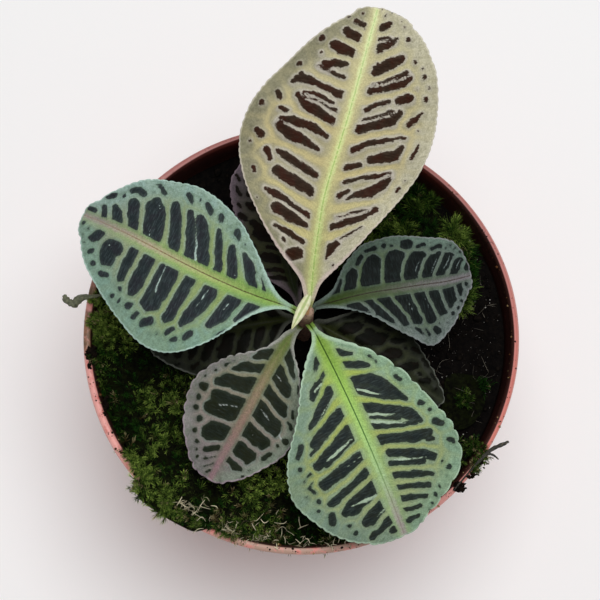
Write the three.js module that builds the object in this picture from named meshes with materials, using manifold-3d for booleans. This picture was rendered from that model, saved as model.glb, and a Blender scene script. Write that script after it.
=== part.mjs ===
// A young labisia in a plastic nursery pot, in millimetres: +Z up, the pot's axis on Z and its
// underside at z = 0. The front of the pot is towards -Y.
import * as THREE from "three";
import { mergeVertices } from "three/addons/utils/BufferGeometryUtils.js";
import Module from "manifold-3d";

const wasm = await Module();
wasm.setup();

// ---- driving dimensions ----
const gap = 0.35; // between pieces that touch

const pot = {
  height: 95,
  rimRadius: 60, // outside, at the very top
  rimWidth: 2,
  collarHeight: 14, // the wider band under the rim
  collarFlare: 1.2, // how much narrower the collar is at its lower edge
  shoulder: 2.2, // step from the collar in to the body
  wall: 1.5,
  baseRadius: 43,
  footWidth: 3.5,
  padRadius: 13, // flat pad in the middle of the underside
  recess: 2.5, // the underside between foot and pad is this much higher
  drainRadius: 4,
  drainCircle: 27,
  drainCount: 8,
  segments: 48,
};

const soil = {
  edgeHeight: 85.5, // where the soil meets the pot's wall
  crown: 1.6, // how much higher it lies in the middle
  relief: 0.5, // height of its soft humps
  segments: 48,
};

const stem = {
  foot: new THREE.Vector3(0.6, 1.2, 73), // its lower end, in the soil
  top: new THREE.Vector3(0.3, 2.4, 118.5),
  footRadius: 2.5,
  topRadius: 1.9,
  nodeSwell: 0.35, // the stem thickens where leaves grow out
  holeRadius: 3.1,
  sides: 12,
};

const blade = {
  thickness: 0.8,
  across: [0.55, 1], // how far out the rows of vertices lie, as shares of the half width
  crinkle: 0.7, // height of the waves along the margin
};

const petiole = { radius: 1.15, tipRadius: 0.5, sides: 7, steps: 11, ribReach: 0.6 };

// Each leaf: where its blade starts and ends, its height at start, middle and end, and the height at which
// its stalk leaves the stem. Three lists give, at the fractions in widthStations, how far the midrib, the
// left edge and the right edge lie from the straight line between start and end (left as seen from the
// stem; the midrib's distance is to the left). Then the upturn of its base, the droop of its edges, and its
// scallops: how many a side and how deep.
const widthStations = [0, 0.05, 0.12, 0.22, 0.35, 0.5, 0.65, 0.8, 0.9, 0.965, 1];
const straight = widthStations.map(() => 0);
const leaves = [
  {
    name: "leaf_back",
    base: [1.4, 5.3], tip: [17.3, 75.4], heights: [121, 134, 146], root: 115.5,
    midrib: [0, 0.6, 1.3, 2, 2.5, 1.8, 1, 0.5, 0.2, 0, 0],
    left: [2, 4.2, 10.9, 17.8, 24.2, 27.6, 25.2, 17.8, 11.4, 5.6, 0],
    right: [1, 1.8, 5.4, 9.9, 15.2, 20.2, 21.7, 19.5, 15.4, 10, 0],
    upturn: 0.5, droop: 0.06, scallops: 26, scallopDepth: 0.4,
    colour: 0xa9a27c,
  },
  {
    name: "leaf_left",
    base: [-4.5, 4.4], tip: [-59.5, 29.3], heights: [113, 120, 112], root: 109.5,
    midrib: [0, 0.6, 1.4, 2.1, 2.4, 2.2, 1.5, 0.7, 0.3, 0.1, 0],
    left: [1.1, 2.9, 7.4, 17.5, 24.7, 25.9, 22.2, 16.5, 11.6, 5.8, 0],
    right: [0.8, 1.2, 3.7, 8.8, 14.7, 18.2, 18.4, 15.2, 10.2, 5, 0],
    upturn: 0.5, droop: 0.1, scallops: 24, scallopDepth: 0.45,
    colour: 0x6f9a86,
  },
  {
    name: "leaf_front",
    base: [2.8, -1.9], tip: [26.7, -55.6], heights: [110, 117, 105], root: 106.5,
    midrib: straight,
    left: [1, 2.6, 6.7, 12, 16.7, 20.5, 23.5, 22, 14.6, 6.6, 0],
    right: [1, 2.4, 6.2, 10.3, 14.9, 21.3, 23.7, 20.2, 15.6, 9.4, 0],
    upturn: 0.45, droop: 0.12, scallops: 21, scallopDepth: 0.6,
    colour: 0x7fae72,
  },
  {
    name: "leaf_right",
    base: [3.2, 5.6], tip: [46, 15.1], heights: [107, 110, 104], root: 103.5,
    midrib: [0, 0, 0, 0.1, 0, -0.4, -0.6, -0.8, -0.5, -0.2, 0],
    left: [1, 1.6, 3.2, 8.9, 13.1, 14.6, 13.8, 12.3, 11.3, 9.8, 0],
    right: [1, 1.3, 2.2, 4.2, 7.6, 13.2, 17.1, 13.2, 8, 4, 0],
    upturn: 0.4, droop: 0.12, scallops: 19, scallopDepth: 0.5,
    colour: 0x5c7d6c,
  },
  {
    name: "leaf_front_left",
    base: [-2.1, -0.8], tip: [-25.1, -40.8], heights: [106, 109, 101], root: 102,
    midrib: [0, -0.2, -0.4, -0.5, -0.5, -0.2, 0, 0, 0, 0, 0],
    left: [1, 1.2, 2.5, 6.8, 10.5, 13.5, 14.4, 11, 7.8, 4, 0],
    right: [1, 2.2, 3.1, 5.8, 12.4, 16.5, 16.6, 13.6, 9.8, 6.4, 0],
    upturn: 0.4, droop: 0.12, scallops: 18, scallopDepth: 0.6,
    colour: 0x6d8272,
  },
  {
    name: "leaf_low_back",
    base: [-1.4, 7.8], tip: [-14.5, 49], heights: [102, 104, 99], root: 98,
    midrib: straight,
    left: [1, 1.6, 4, 8, 9.8, 9.9, 9.5, 8.8, 7.2, 4.4, 0],
    right: [1, 1.8, 4.6, 8.6, 12, 13.6, 12.8, 9.8, 6.8, 3.8, 0],
    upturn: 0.35, droop: 0.12, scallops: 17, scallopDepth: 0.5,
    colour: 0x3c4a3d,
  },
  {
    name: "leaf_low_right",
    base: [3.6, 2.7], tip: [38.9, -18.9], heights: [99, 100, 96], root: 94.5,
    midrib: straight,
    left: [1, 2, 5, 9.4, 12, 12.4, 9.8, 6.8, 4, 2.2, 0],
    right: [1, 2, 5, 9, 12, 13, 11.6, 8.6, 6, 3.2, 0],
    upturn: 0.35, droop: 0.12, scallops: 12, scallopDepth: 0.9,
    colour: 0x36412f,
  },
  {
    name: "leaf_low_left",
    base: [-3, 3.7], tip: [-41.8, -4.6], heights: [99, 101, 96], root: 93,
    midrib: straight,
    left: [1, 2, 5, 8.8, 11.8, 12.8, 11.8, 8.4, 5.6, 2.8, 0],
    right: [1, 2, 5, 8.8, 11.8, 12.6, 11.2, 8.2, 5.4, 2.8, 0],
    upturn: 0.35, droop: 0.12, scallops: 16, scallopDepth: 0.5,
    colour: 0x333d2c,
  },
];

const furled = {
  stalkFoot: new THREE.Vector3(0.2, 1.6, 118.9),
  base: new THREE.Vector3(0.7, 5, 124),
  tip: new THREE.Vector3(-3.9, -4.5, 128.5),
  width: 2.6, // of the folded blade, at its widest
  depth: 1.7,
  sides: 10,
};

// Moss cushions lie on the soil, from angle `from` to angle `to` (degrees, counterclockwise from +X) and
// from radius `inner` to `outer`. `rise` is their height above the soil; `spill` is where one climbs the
// pot's wall and grows out over the rim.
const mossLumps = 1.4; // height of the humps that every cushion has
const mossPatches = [
  {
    name: "moss_front",
    from: 158, to: 325, inner: 20, outer: 56.3, rise: 6.2, rows: 7, columns: 45, seed: 1,
    spill: { from: 216, to: 251, wallOnly: 4, blend: 6, reach: [65, 61], lift: 1.6 },
  },
  { name: "moss_back", from: 10, to: 80, inner: 24, outer: 54, rise: 5.5, rows: 6, columns: 18, seed: 2 },
  { name: "moss_right", from: -31, to: -12, inner: 41, outer: 54, rise: 4, rows: 5, columns: 8, seed: 3 },
];

const twigLeft = {
  points: [[-53.5, 10.6, 96.2], [-57.5, 10, 96.3], [-61.3, 9, 96.5], [-65, 8.6, 95.8]],
  radii: [0.5, 0.8, 0.9, 0.5],
};
const twigRight = {
  points: [[41, -43, 95.9], [46.3, -37, 96], [51.2, -32.4, 96.3], [56, -30.2, 97.4]],
  radii: [0.55, 0.6, 0.5, 0.3],
};

// ---- mesh helpers ----

// A closed surface from rings of points, each ring the same length, with its two ends fanned shut.
function loft(rings) {
  const count = rings[0].length;
  const positions = rings.flat().flatMap((p) => [p.x, p.y, p.z]);
  const indices = [];
  for (let ring = 0; ring < rings.length - 1; ring++)
    for (let i = 0; i < count; i++) {
      const next = (i + 1) % count;
      const [a, b] = [ring * count + i, ring * count + next];
      indices.push(a, b, b + count, a, b + count, a + count);
    }
  for (const [ring, turned] of [[0, true], [rings.length - 1, false]]) {
    const middle = rings[ring].reduce((sum, p) => sum.add(p), new THREE.Vector3()).divideScalar(count);
    const hub = positions.length / 3;
    positions.push(middle.x, middle.y, middle.z);
    for (let i = 0; i < count; i++) {
      const [a, b] = [ring * count + i, ring * count + ((i + 1) % count)];
      indices.push(...(turned ? [hub, b, a] : [hub, a, b]));
    }
  }
  return geometryOf(positions, indices);
}

function geometryOf(positions, indices) {
  const geometry = new THREE.BufferGeometry();
  geometry.setAttribute("position", new THREE.Float32BufferAttribute(positions, 3));
  geometry.setIndex(indices);
  return geometry;
}

function solidOf(geometry) {
  const bare = geometry.clone();
  bare.deleteAttribute("normal");
  bare.deleteAttribute("uv");
  const merged = mergeVertices(bare, 1e-4);
  return new wasm.Manifold(
    new wasm.Mesh({
      numProp: 3,
      vertProperties: merged.attributes.position.array,
      triVerts: new Uint32Array(merged.index.array),
    }),
  );
}

// The largest body of a solid, as three.js geometry: a cut can leave a loose scrap beside it.
function geometryOfSolid(solid) {
  const bodies = solid.decompose().sort((a, b) => b.volume() - a.volume());
  const mesh = bodies[0].getMesh();
  return geometryOf(Array.from(mesh.vertProperties), Array.from(mesh.triVerts));
}

// A tube of changing radius along a curve through the given points.
function taperedTube(points, radii, sides, steps) {
  const curve = new THREE.CatmullRomCurve3(points, false, "centripetal");
  const frames = curve.computeFrenetFrames(steps, false);
  const rings = [];
  for (let step = 0; step <= steps; step++) {
    const along = step / steps;
    const centre = curve.getPointAt(along);
    const place = along * (radii.length - 1);
    const before = Math.min(Math.floor(place), radii.length - 2);
    const radius = THREE.MathUtils.lerp(radii[before], radii[before + 1], place - before);
    rings.push(
      Array.from({ length: sides }, (_, i) => {
        const angle = (i / sides) * Math.PI * 2;
        return centre
          .clone()
          .addScaledVector(frames.normals[step], radius * Math.cos(angle))
          .addScaledVector(frames.binormals[step], radius * Math.sin(angle));
      }),
    );
  }
  return loft(rings);
}

// A repeatable soft unevenness between -1 and 1.
function humps(x, y, size, seed) {
  const [u, v] = [x / size + seed * 2.3, y / size - seed * 1.7];
  const [ridges, troughs] = [Math.sin(v * 1.3), Math.sin(u * 1.7 + 2)];
  return (Math.sin(u * 1.9 + 1.3 * ridges) + Math.sin(v * 2.3 + 1.1 * troughs)) / 2;
}

function smooth(low, high, value) {
  return THREE.MathUtils.smoothstep(value, low, high);
}

// ---- the pot ----

const collarFoot = pot.height - pot.collarHeight;
const bodyTop = pot.rimRadius - pot.collarFlare - pot.shoulder; // the body's radius just under the collar

function bodyRadius(z) {
  return THREE.MathUtils.lerp(pot.baseRadius, bodyTop, z / collarFoot);
}

// The radius of the pot's inner wall at height z.
function innerRadius(z) {
  if (z < collarFoot) return bodyRadius(z) - pot.wall;
  const share = (z - collarFoot) / pot.collarHeight;
  return pot.rimRadius - pot.rimWidth - pot.collarFlare * (1 - share);
}

function makePot() {
  const floorTop = pot.recess + pot.wall;
  const footInner = pot.baseRadius - pot.footWidth;
  const rimRound = 0.6;
  const profile = [
    [0, 0],
    [pot.padRadius, 0],
    [pot.padRadius + 1.5, pot.recess],
    [footInner - 1.5, pot.recess],
    [footInner, 0],
    [pot.baseRadius - 0.8, 0],
    [pot.baseRadius, 0.8],
    [bodyTop, collarFoot],
    [pot.rimRadius - pot.collarFlare, collarFoot + 0.6],
    [pot.rimRadius, pot.height - 1.6],
    [pot.rimRadius - 0.2, pot.height - rimRound],
    [pot.rimRadius - rimRound, pot.height],
    [pot.rimRadius - pot.rimWidth + rimRound, pot.height],
    [innerRadius(pot.height - rimRound), pot.height - rimRound],
    [innerRadius(collarFoot + pot.wall), collarFoot + pot.wall],
    [bodyTop - pot.wall, collarFoot],
    [innerRadius(floorTop), floorTop],
    [0, floorTop],
  ].map(([radius, z]) => new THREE.Vector2(radius, z));
  const lathe = new THREE.LatheGeometry(profile, pot.segments).rotateX(Math.PI / 2);
  let solid = solidOf(lathe);
  for (let i = 0; i < pot.drainCount; i++) {
    const angle = (i / pot.drainCount) * Math.PI * 2;
    const drill = new THREE.CylinderGeometry(pot.drainRadius, pot.drainRadius, 4 * pot.recess, 12)
      .rotateX(Math.PI / 2)
      .translate(Math.cos(angle) * pot.drainCircle, Math.sin(angle) * pot.drainCircle, pot.recess);
    solid = solid.subtract(solidOf(drill));
  }
  return geometryOfSolid(solid);
}

// ---- soil and moss ----

function soilHeight(x, y) {
  const share = Math.hypot(x, y) / innerRadius(soil.edgeHeight);
  return soil.edgeHeight + soil.crown * (1 - share * share) + soil.relief * humps(x, y, 9, 4);
}

// Rings round the pot's axis, from the axis outwards and back: each ring gives its radius and its height.
function turned(rings, segments) {
  return loft(
    rings.map(({ radius, height, centre = [0, 0] }) =>
      Array.from({ length: segments }, (_, i) => {
        const angle = (i / segments) * Math.PI * 2;
        const [x, y] = [centre[0] + radius * Math.cos(angle), centre[1] + radius * Math.sin(angle)];
        return new THREE.Vector3(x, y, typeof height === "function" ? height(x, y) : height);
      }),
    ),
  );
}

function makeSoil() {
  const floor = pot.recess + pot.wall + gap;
  const hole = [stem.foot.x, stem.foot.y];
  const rings = [
    { radius: innerRadius(floor) - gap, height: floor },
    { radius: bodyTop - pot.wall - gap, height: collarFoot },
    { radius: innerRadius(soil.edgeHeight - 1) - gap, height: soil.edgeHeight - 1 },
  ];
  for (const radius of [52, 45, 37, 29, 21, 13, 7.5]) rings.push({ radius, height: soilHeight });
  rings.push(
    { radius: stem.holeRadius, height: soilHeight, centre: hole },
    { radius: stem.holeRadius, height: stem.foot.z - gap, centre: hole },
  );
  return geometryOfSolid(solidOf(turned(rings, soil.segments)));
}

// What a spilling cushion does at an angle: how far it has climbed the wall and how far it has grown over
// the rim (both 0 to 1), and the radius it reaches there.
function spillAt(spill, degrees) {
  if (!spill) return { climb: 0, over: 0, reach: 0 };
  const inside = Math.min(degrees - spill.from, spill.to - degrees);
  return {
    climb: smooth(-spill.blend, 0, inside),
    over: smooth(spill.wallOnly, spill.wallOnly + spill.blend, inside),
    reach: THREE.MathUtils.mapLinear(degrees, spill.from, spill.to, ...spill.reach),
  };
}

// A cushion of moss: rows run outwards and columns run round the pot. Its underside follows the soil and,
// where it spills, the pot's wall and the rim.
function makeMoss(patch) {
  const top = [];
  const under = [];
  for (let column = 0; column <= patch.columns; column++) {
    const round = column / patch.columns;
    const degrees = THREE.MathUtils.lerp(patch.from, patch.to, round);
    const angle = THREE.MathUtils.degToRad(degrees);
    const ends = Math.pow(Math.sin(Math.PI * THREE.MathUtils.clamp(round, 0.004, 0.996)), 0.35);
    const wander = 2.4 * humps(column * 1.3, 0, 5, patch.seed);
    const middle = (patch.inner + patch.outer) / 2;
    const inner = THREE.MathUtils.lerp(middle, patch.inner + wander, ends);
    const outer = THREE.MathUtils.lerp(middle, patch.outer, ends);
    const { climb, over, reach } = spillAt(patch.spill, degrees);
    const rimTop = pot.height + gap;
    for (let row = 0; row <= patch.rows + 2; row++) {
      const beyond = row > patch.rows;
      const inward = Math.min(row / patch.rows, 1);
      let radius = THREE.MathUtils.lerp(inner, outer, inward);
      if (beyond) radius += THREE.MathUtils.lerp(0.1 * (row - patch.rows), 0.7, climb);
      if (row === patch.rows + 2) radius = THREE.MathUtils.lerp(radius + 0.1, reach, over);
      const [x, y] = [radius * Math.cos(angle), radius * Math.sin(angle)];
      const ground = soilHeight(x, y) + gap + 0.25;
      const low = beyond ? THREE.MathUtils.lerp(ground, rimTop, climb) : ground;
      const lowerAtWall = 1 - 0.5 * (1 - climb) * smooth(0.75, 1, inward);
      const full = smooth(0, 0.25, inward) * lowerAtWall * (0.3 + 0.7 * ends);
      const lump = mossLumps * humps(x, y, 6, patch.seed);
      const cushion = ground + 0.6 + (patch.rise + lump) * full;
      const overRim = rimTop + (patch.spill?.lift ?? 0) + 0.5 * lump;
      const rising = climb * smooth(0.5, 1, inward);
      const high = THREE.MathUtils.lerp(cushion, Math.max(cushion, overRim), rising);
      const lip = row === patch.rows + 2 ? 0.4 : 1;
      under.push(new THREE.Vector3(x, y, low));
      top.push(new THREE.Vector3(x, y, low + Math.max((high - low) * lip, 0.5)));
    }
  }
  return slab(top, under, patch.rows + 3);
}

// A closed body between a top and an under grid of points, each with `rows` points to a column. Both grids
// are split into triangles alike.
function slab(top, under, rows) {
  const columns = top.length / rows;
  const positions = [...top, ...under].flatMap((p) => [p.x, p.y, p.z]);
  const indices = [];
  const high = (column, row) => column * rows + row;
  const low = (column, row) => top.length + column * rows + row;
  const quad = (a, b, c, d) => indices.push(a, b, c, a, c, d);
  for (let i = 0; i < columns - 1; i++)
    for (let j = 0; j < rows - 1; j++) {
      quad(high(i, j), high(i, j + 1), high(i + 1, j + 1), high(i + 1, j));
      indices.push(low(i, j), low(i + 1, j + 1), low(i, j + 1));
      indices.push(low(i, j), low(i + 1, j), low(i + 1, j + 1));
    }
  const [lastColumn, lastRow] = [columns - 1, rows - 1];
  for (let i = 0; i < lastColumn; i++) {
    quad(high(i + 1, 0), low(i + 1, 0), low(i, 0), high(i, 0));
    quad(high(i, lastRow), low(i, lastRow), low(i + 1, lastRow), high(i + 1, lastRow));
  }
  for (let j = 0; j < lastRow; j++) {
    quad(high(0, j), low(0, j), low(0, j + 1), high(0, j + 1));
    quad(high(lastColumn, j + 1), low(lastColumn, j + 1), low(lastColumn, j), high(lastColumn, j));
  }
  return geometryOf(positions, indices);
}

// ---- the plant ----

function stemAxis(z) {
  const share = (z - stem.foot.z) / (stem.top.z - stem.foot.z);
  return stem.foot.clone().lerp(stem.top, share);
}

function stemRadius(z) {
  const share = (z - stem.foot.z) / (stem.top.z - stem.foot.z);
  const swell = leaves.reduce((sum, leaf) => sum + Math.exp(-(((z - leaf.root) / 1.6) ** 2)), 0);
  return THREE.MathUtils.lerp(stem.footRadius, stem.topRadius, share) + stem.nodeSwell * Math.min(swell, 1);
}

function makeStem(extra = 0) {
  const rings = [];
  const steps = 18;
  for (let step = 0; step <= steps; step++) {
    const z = THREE.MathUtils.lerp(stem.foot.z, stem.top.z, step / steps);
    const centre = stemAxis(z);
    const rounded = step === 0 || step === steps ? 0.55 : 1;
    const radius = stemRadius(z) * rounded + extra;
    const lift = step === 0 ? -extra : step === steps ? extra : 0;
    rings.push(
      Array.from({ length: stem.sides }, (_, i) => {
        const angle = (i / stem.sides) * Math.PI * 2;
        return new THREE.Vector3(
          centre.x + radius * Math.cos(angle), centre.y + radius * Math.sin(angle), z + lift,
        );
      }),
    );
  }
  return loft(rings);
}

// A smooth curve through the values that a list gives at the widthStations.
function valueAt(values, along) {
  const last = widthStations.length - 1;
  let i = 0;
  while (i < last - 1 && along > widthStations[i + 1]) i++;
  const span = widthStations[i + 1] - widthStations[i];
  const t = (along - widthStations[i]) / span;
  const slope = (j) => {
    const [before, after] = [Math.max(j - 1, 0), Math.min(j + 1, last)];
    return (values[after] - values[before]) / (widthStations[after] - widthStations[before]);
  };
  const rise = t * t * (3 - 2 * t);
  const leave = t * (1 - t) * (1 - t) * span * slope(i);
  const arrive = t * t * (t - 1) * span * slope(i + 1);
  return THREE.MathUtils.lerp(values[i], values[i + 1], rise) + leave + arrive;
}

// An edge's distance from the midrib; past the last station but one it turns in to a round tip.
function edgeFromMidrib(edge, midribSide, along) {
  const roundFrom = widthStations.at(-2);
  const reach = valueAt(edge, Math.min(along, roundFrom)) - midribSide;
  const past = Math.max(along - roundFrom, 0) / (1 - roundFrom);
  return reach * Math.sqrt(1 - past * past);
}

// The frame of a leaf: a point on its upper face from its place along the midrib (0 to 1) and its distance
// to the left of it in millimetres.
function leafSurface(leaf) {
  const base = new THREE.Vector2(...leaf.base);
  const chord = new THREE.Vector2(...leaf.tip).sub(base);
  const left = new THREE.Vector2(-chord.y, chord.x).normalize();
  const [start, middle, end] = leaf.heights;
  return (along, lateral, share) => {
    const rest = 1 - along;
    const offset = valueAt(leaf.midrib, along) + lateral;
    const place = base.clone().addScaledVector(chord, along).addScaledVector(left, offset);
    const ridge = start * rest * (rest - along) + 4 * middle * along * rest + end * along * (along - rest);
    const out = Math.abs(lateral);
    const fold = leaf.upturn * (1 - smooth(0, 0.45, along)) * out;
    const bend = leaf.droop * smooth(0.1, 0.7, along) * (out * out) / 12;
    const side = lateral < 0 ? 1.7 : 0;
    const wave = blade.crinkle * share * share * Math.sin(along * 23 + side) * smooth(0.1, 0.4, along);
    return new THREE.Vector3(place.x, place.y, ridge + fold - bend + wave);
  };
}

function makeBlade(leaf) {
  const surface = leafSurface(leaf);
  const stations = leaf.scallops * 2 + 1;
  const top = [];
  const under = [];
  for (let i = 0; i < stations; i++) {
    const along = 1 - Math.pow(1 - i / (stations - 1), 1.25); // closer together towards the round tip
    const crest = i % 2 === 0 ? 0 : leaf.scallopDepth;
    const midrib = valueAt(leaf.midrib, along);
    const notch = crest * smooth(0.06, 0.2, along);
    const left = Math.max(edgeFromMidrib(leaf.left, midrib, Math.min(along, 0.997)) - notch, 0.5);
    const right = Math.max(edgeFromMidrib(leaf.right, -midrib, Math.min(along, 0.997)) - notch, 0.5);
    const row = [
      ...[...blade.across].reverse().map((share) => [share * left, share]),
      [0, 0],
      ...blade.across.map((share) => [-share * right, share]),
    ];
    for (const [lateral, share] of row) {
      const point = surface(along, lateral, share);
      top.push(point);
      under.push(point.clone().setZ(point.z - blade.thickness));
    }
  }
  return slab(top, under, blade.across.length * 2 + 1);
}

// The stalk, from the stem's axis to the blade's base, and on under the blade as the raised midrib.
function makeStalk(leaf) {
  const surface = leafSurface(leaf);
  const points = [stemAxis(leaf.root)];
  const sunk = blade.thickness * 0.6;
  for (const along of [0, 0.1, 0.22, 0.35, 0.48, petiole.ribReach])
    points.push(surface(along, 0, 0).setZ(surface(along, 0, 0).z - sunk - 0.35 * (1 - along)));
  const radii = [1, 1, 0.9, 0.75, 0.62, 0.52, 0.42].map((share) =>
    Math.max(petiole.radius * share, petiole.tipRadius),
  );
  return taperedTube(points, radii, petiole.sides, petiole.steps);
}

function makeLeaf(leaf, stemRoom) {
  const whole = solidOf(makeBlade(leaf)).add(solidOf(makeStalk(leaf)));
  return geometryOfSolid(whole.subtract(stemRoom));
}

// The new leaf, folded along its midrib: a flat spindle with a groove down its upper side, on a short stalk
// that hooks up from the tip of the stem.
function makeFurled() {
  const axis = furled.tip.clone().sub(furled.base);
  const length = axis.length();
  axis.normalize();
  const side = new THREE.Vector3().crossVectors(axis, new THREE.Vector3(0, 0, 1)).normalize();
  const up = new THREE.Vector3().crossVectors(side, axis);
  const steps = 10;
  const rings = [];
  for (let step = 0; step <= steps; step++) {
    const along = step / steps;
    const full = Math.pow(Math.sin(Math.PI * (0.14 + 0.83 * Math.pow(along, 1.15))), 0.75);
    const centre = furled.base.clone().addScaledVector(axis, length * along);
    rings.push(
      Array.from({ length: furled.sides }, (_, i) => {
        const angle = (i / furled.sides) * Math.PI * 2 + Math.PI / 2;
        const groove = i === 0 ? 0.45 : 1;
        return centre
          .clone()
          .addScaledVector(side, -0.5 * furled.width * full * Math.cos(angle))
          .addScaledVector(up, 0.5 * furled.depth * full * Math.sin(angle) * groove);
      }),
    );
  }
  const hook = [
    furled.stalkFoot,
    furled.stalkFoot.clone().lerp(furled.base, 0.5),
    furled.base.clone().addScaledVector(axis, 0.8),
  ];
  return solidOf(loft(rings)).add(solidOf(taperedTube(hook, [0.6, 0.55, 0.5], 6, 5)));
}

// ---- assembly ----

function material(colour, roughness) {
  return new THREE.MeshStandardMaterial({ color: colour, roughness, metalness: 0 });
}

const group = new THREE.Group();
group.name = "potted_labisia";

function addPiece(name, geometry, look) {
  const mesh = new THREE.Mesh(geometry, look);
  mesh.name = name;
  mesh.geometry.computeVertexNormals();
  group.add(mesh);
}

const stemRoom = solidOf(makeStem(gap));

addPiece("pot", makePot(), material(0xc4766a, 0.5));
addPiece("soil", makeSoil(), material(0x1c1712, 0.95));
for (const patch of mossPatches) addPiece(patch.name, makeMoss(patch), material(0x35521c, 0.9));
addPiece("stem", makeStem(), material(0x8a5a48, 0.8));
for (const leaf of leaves) addPiece(leaf.name, makeLeaf(leaf, stemRoom), material(leaf.colour, 0.5));
addPiece("leaf_furled", geometryOfSolid(makeFurled().subtract(stemRoom)), material(0xc9d2a0, 0.5));
for (const [name, twig, looks] of [
  ["twig_left", twigLeft, 0x6b6b58],
  ["twig_right", twigRight, 0x4a4a40],
]) {
  const points = twig.points.map((p) => new THREE.Vector3(...p));
  addPiece(name, taperedTube(points, twig.radii, 6, 8), material(looks, 0.8));
}

export default group;
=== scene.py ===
import math

import bmesh
import bpy
import numpy as np
from mathutils import Matrix, Vector


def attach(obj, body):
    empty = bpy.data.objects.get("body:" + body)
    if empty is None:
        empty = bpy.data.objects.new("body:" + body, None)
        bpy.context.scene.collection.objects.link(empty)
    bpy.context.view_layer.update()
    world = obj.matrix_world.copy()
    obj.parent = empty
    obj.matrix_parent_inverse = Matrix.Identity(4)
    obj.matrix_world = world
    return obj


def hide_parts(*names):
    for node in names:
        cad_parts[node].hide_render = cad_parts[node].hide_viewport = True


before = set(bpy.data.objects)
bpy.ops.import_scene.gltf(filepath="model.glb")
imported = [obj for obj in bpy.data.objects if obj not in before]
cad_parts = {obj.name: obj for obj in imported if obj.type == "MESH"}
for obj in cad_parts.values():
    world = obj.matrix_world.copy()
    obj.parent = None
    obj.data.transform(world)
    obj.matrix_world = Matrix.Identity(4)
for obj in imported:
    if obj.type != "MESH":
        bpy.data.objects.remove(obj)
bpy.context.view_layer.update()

mm = 0.001


# Meshes are laid out in millimetres, and meshPiece turns them into metres. Materials and the lamp use
# metres, apart from the leaves' own masks.
def meshPiece(name, points, faces, slots, materials, floats=None, vectors=None, smooth=True):
    mesh = bpy.data.meshes.new(name)
    points = np.asarray(points, float) * mm
    sizes = np.concatenate([np.full(len(part), part.shape[1]) for part in faces])
    corners = np.concatenate([part.ravel() for part in faces]).astype(np.int32)
    starts = np.concatenate([[0], np.cumsum(sizes)[:-1]]).astype(np.int32)
    mesh.vertices.add(len(points))
    mesh.vertices.foreach_set("co", points.astype(np.float32).ravel())
    mesh.loops.add(len(corners))
    mesh.loops.foreach_set("vertex_index", corners)
    mesh.polygons.add(len(sizes))
    mesh.polygons.foreach_set("loop_start", starts)
    if slots is not None:
        mesh.polygons.foreach_set("material_index", np.asarray(slots, np.int32))
    mesh.polygons.foreach_set("use_smooth", np.full(len(sizes), smooth))
    for material in materials:
        mesh.materials.append(material)
    for key, values in (floats or {}).items():
        mesh.attributes.new(key, "FLOAT", "POINT").data.foreach_set("value", np.asarray(values, np.float32))
    for key, values in (vectors or {}).items():
        layer = mesh.attributes.new(key, "FLOAT_VECTOR", "POINT")
        layer.data.foreach_set("vector", np.asarray(values, np.float32).ravel())
    mesh.update(calc_edges=True)
    piece = bpy.data.objects.new(name, mesh)
    bpy.context.scene.collection.objects.link(piece)
    return piece


# Quads of a grid of points. A closed grid's last column joins its first.
def gridFaces(rows, columns, offset=0, flip=False, closed=False):
    across = np.arange(columns if closed else columns - 1)
    i, j = np.meshgrid(np.arange(rows - 1), across, indexing="ij")
    k = (j + 1) % columns
    quads = np.stack([i * columns + j, (i + 1) * columns + j, (i + 1) * columns + k, i * columns + k], -1)
    quads = quads.reshape(-1, 4) + offset
    return quads[:, ::-1] if flip else quads


# The top, the under side and the rim of a closed sheet, whose points are a grid of rows for its top and
# then the same for its under side. The top faces up where a row's columns run to the left.
def sheetFaces(rows, columns, mirrored=False):
    count = rows * columns
    i, j = np.arange(rows - 1), np.arange(columns - 1)
    rims = []
    for a, b, flip in ((i * columns, (i + 1) * columns, True),
                       (i * columns + columns - 1, (i + 1) * columns + columns - 1, False),
                       (j, j + 1, False),
                       ((rows - 1) * columns + j, (rows - 1) * columns + j + 1, True)):
        rim = np.stack([a, b, b + count, a + count], -1)
        rims.append(rim[:, ::-1] if flip != mirrored else rim)
    return [gridFaces(rows, columns, 0, mirrored), gridFaces(rows, columns, count, not mirrored),
            np.concatenate(rims)]


# Faces of a tube of rings, with a fan at each end to one of the two points that follow them.
def tubeFaces(rings, around, flip=True):
    i = np.arange(around)
    j = (i + 1) % around
    first, foot = rings * around, (rings - 1) * around
    fans = np.concatenate([np.stack([i * 0 + first, j, i], -1),
                           np.stack([i * 0 + first + 1, foot + i, foot + j], -1)])
    return [gridFaces(rings, around, 0, flip, closed=True), fans if flip else fans[:, [0, 2, 1]]]


# From 0 at low to 1 at high, with soft ends.
def smoothstep(low, high, value):
    t = np.clip((value - low) / (high - low), 0, 1)
    return t * t * (3 - 2 * t)


def lerp(a, b, t):
    return a + (b - a) * t


# Soft random values between -1 and 1, the same on each run.
def softNoise(x, y, size, seed):
    lattice = np.random.RandomState(seed).uniform(-1, 1, (128, 128))
    u, v = np.asarray(x) / size + 37.3, np.asarray(y) / size + 51.7
    i, j = np.floor(u).astype(int), np.floor(v).astype(int)
    s, t = u - i, v - j
    s, t = s * s * (3 - 2 * s), t * t * (3 - 2 * t)
    at = lambda a, b: lattice[a % 128, b % 128]
    low = lerp(at(i, j), at(i + 1, j), s)
    high = lerp(at(i, j + 1), at(i + 1, j + 1), s)
    return lerp(low, high, t)


# The same with three finer layers.
def roughNoise(x, y, size, seed):
    return sum(softNoise(x, y, size / 2 ** k, seed + k) / 2 ** k for k in range(4)) / 1.9


def linear(text):
    parts = [int(text[i:i + 2], 16) / 255 for i in (0, 2, 4)]
    return tuple(c / 12.92 if c < 0.04045 else ((c + 0.055) / 1.055) ** 2.4 for c in parts) + (1,)


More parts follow.
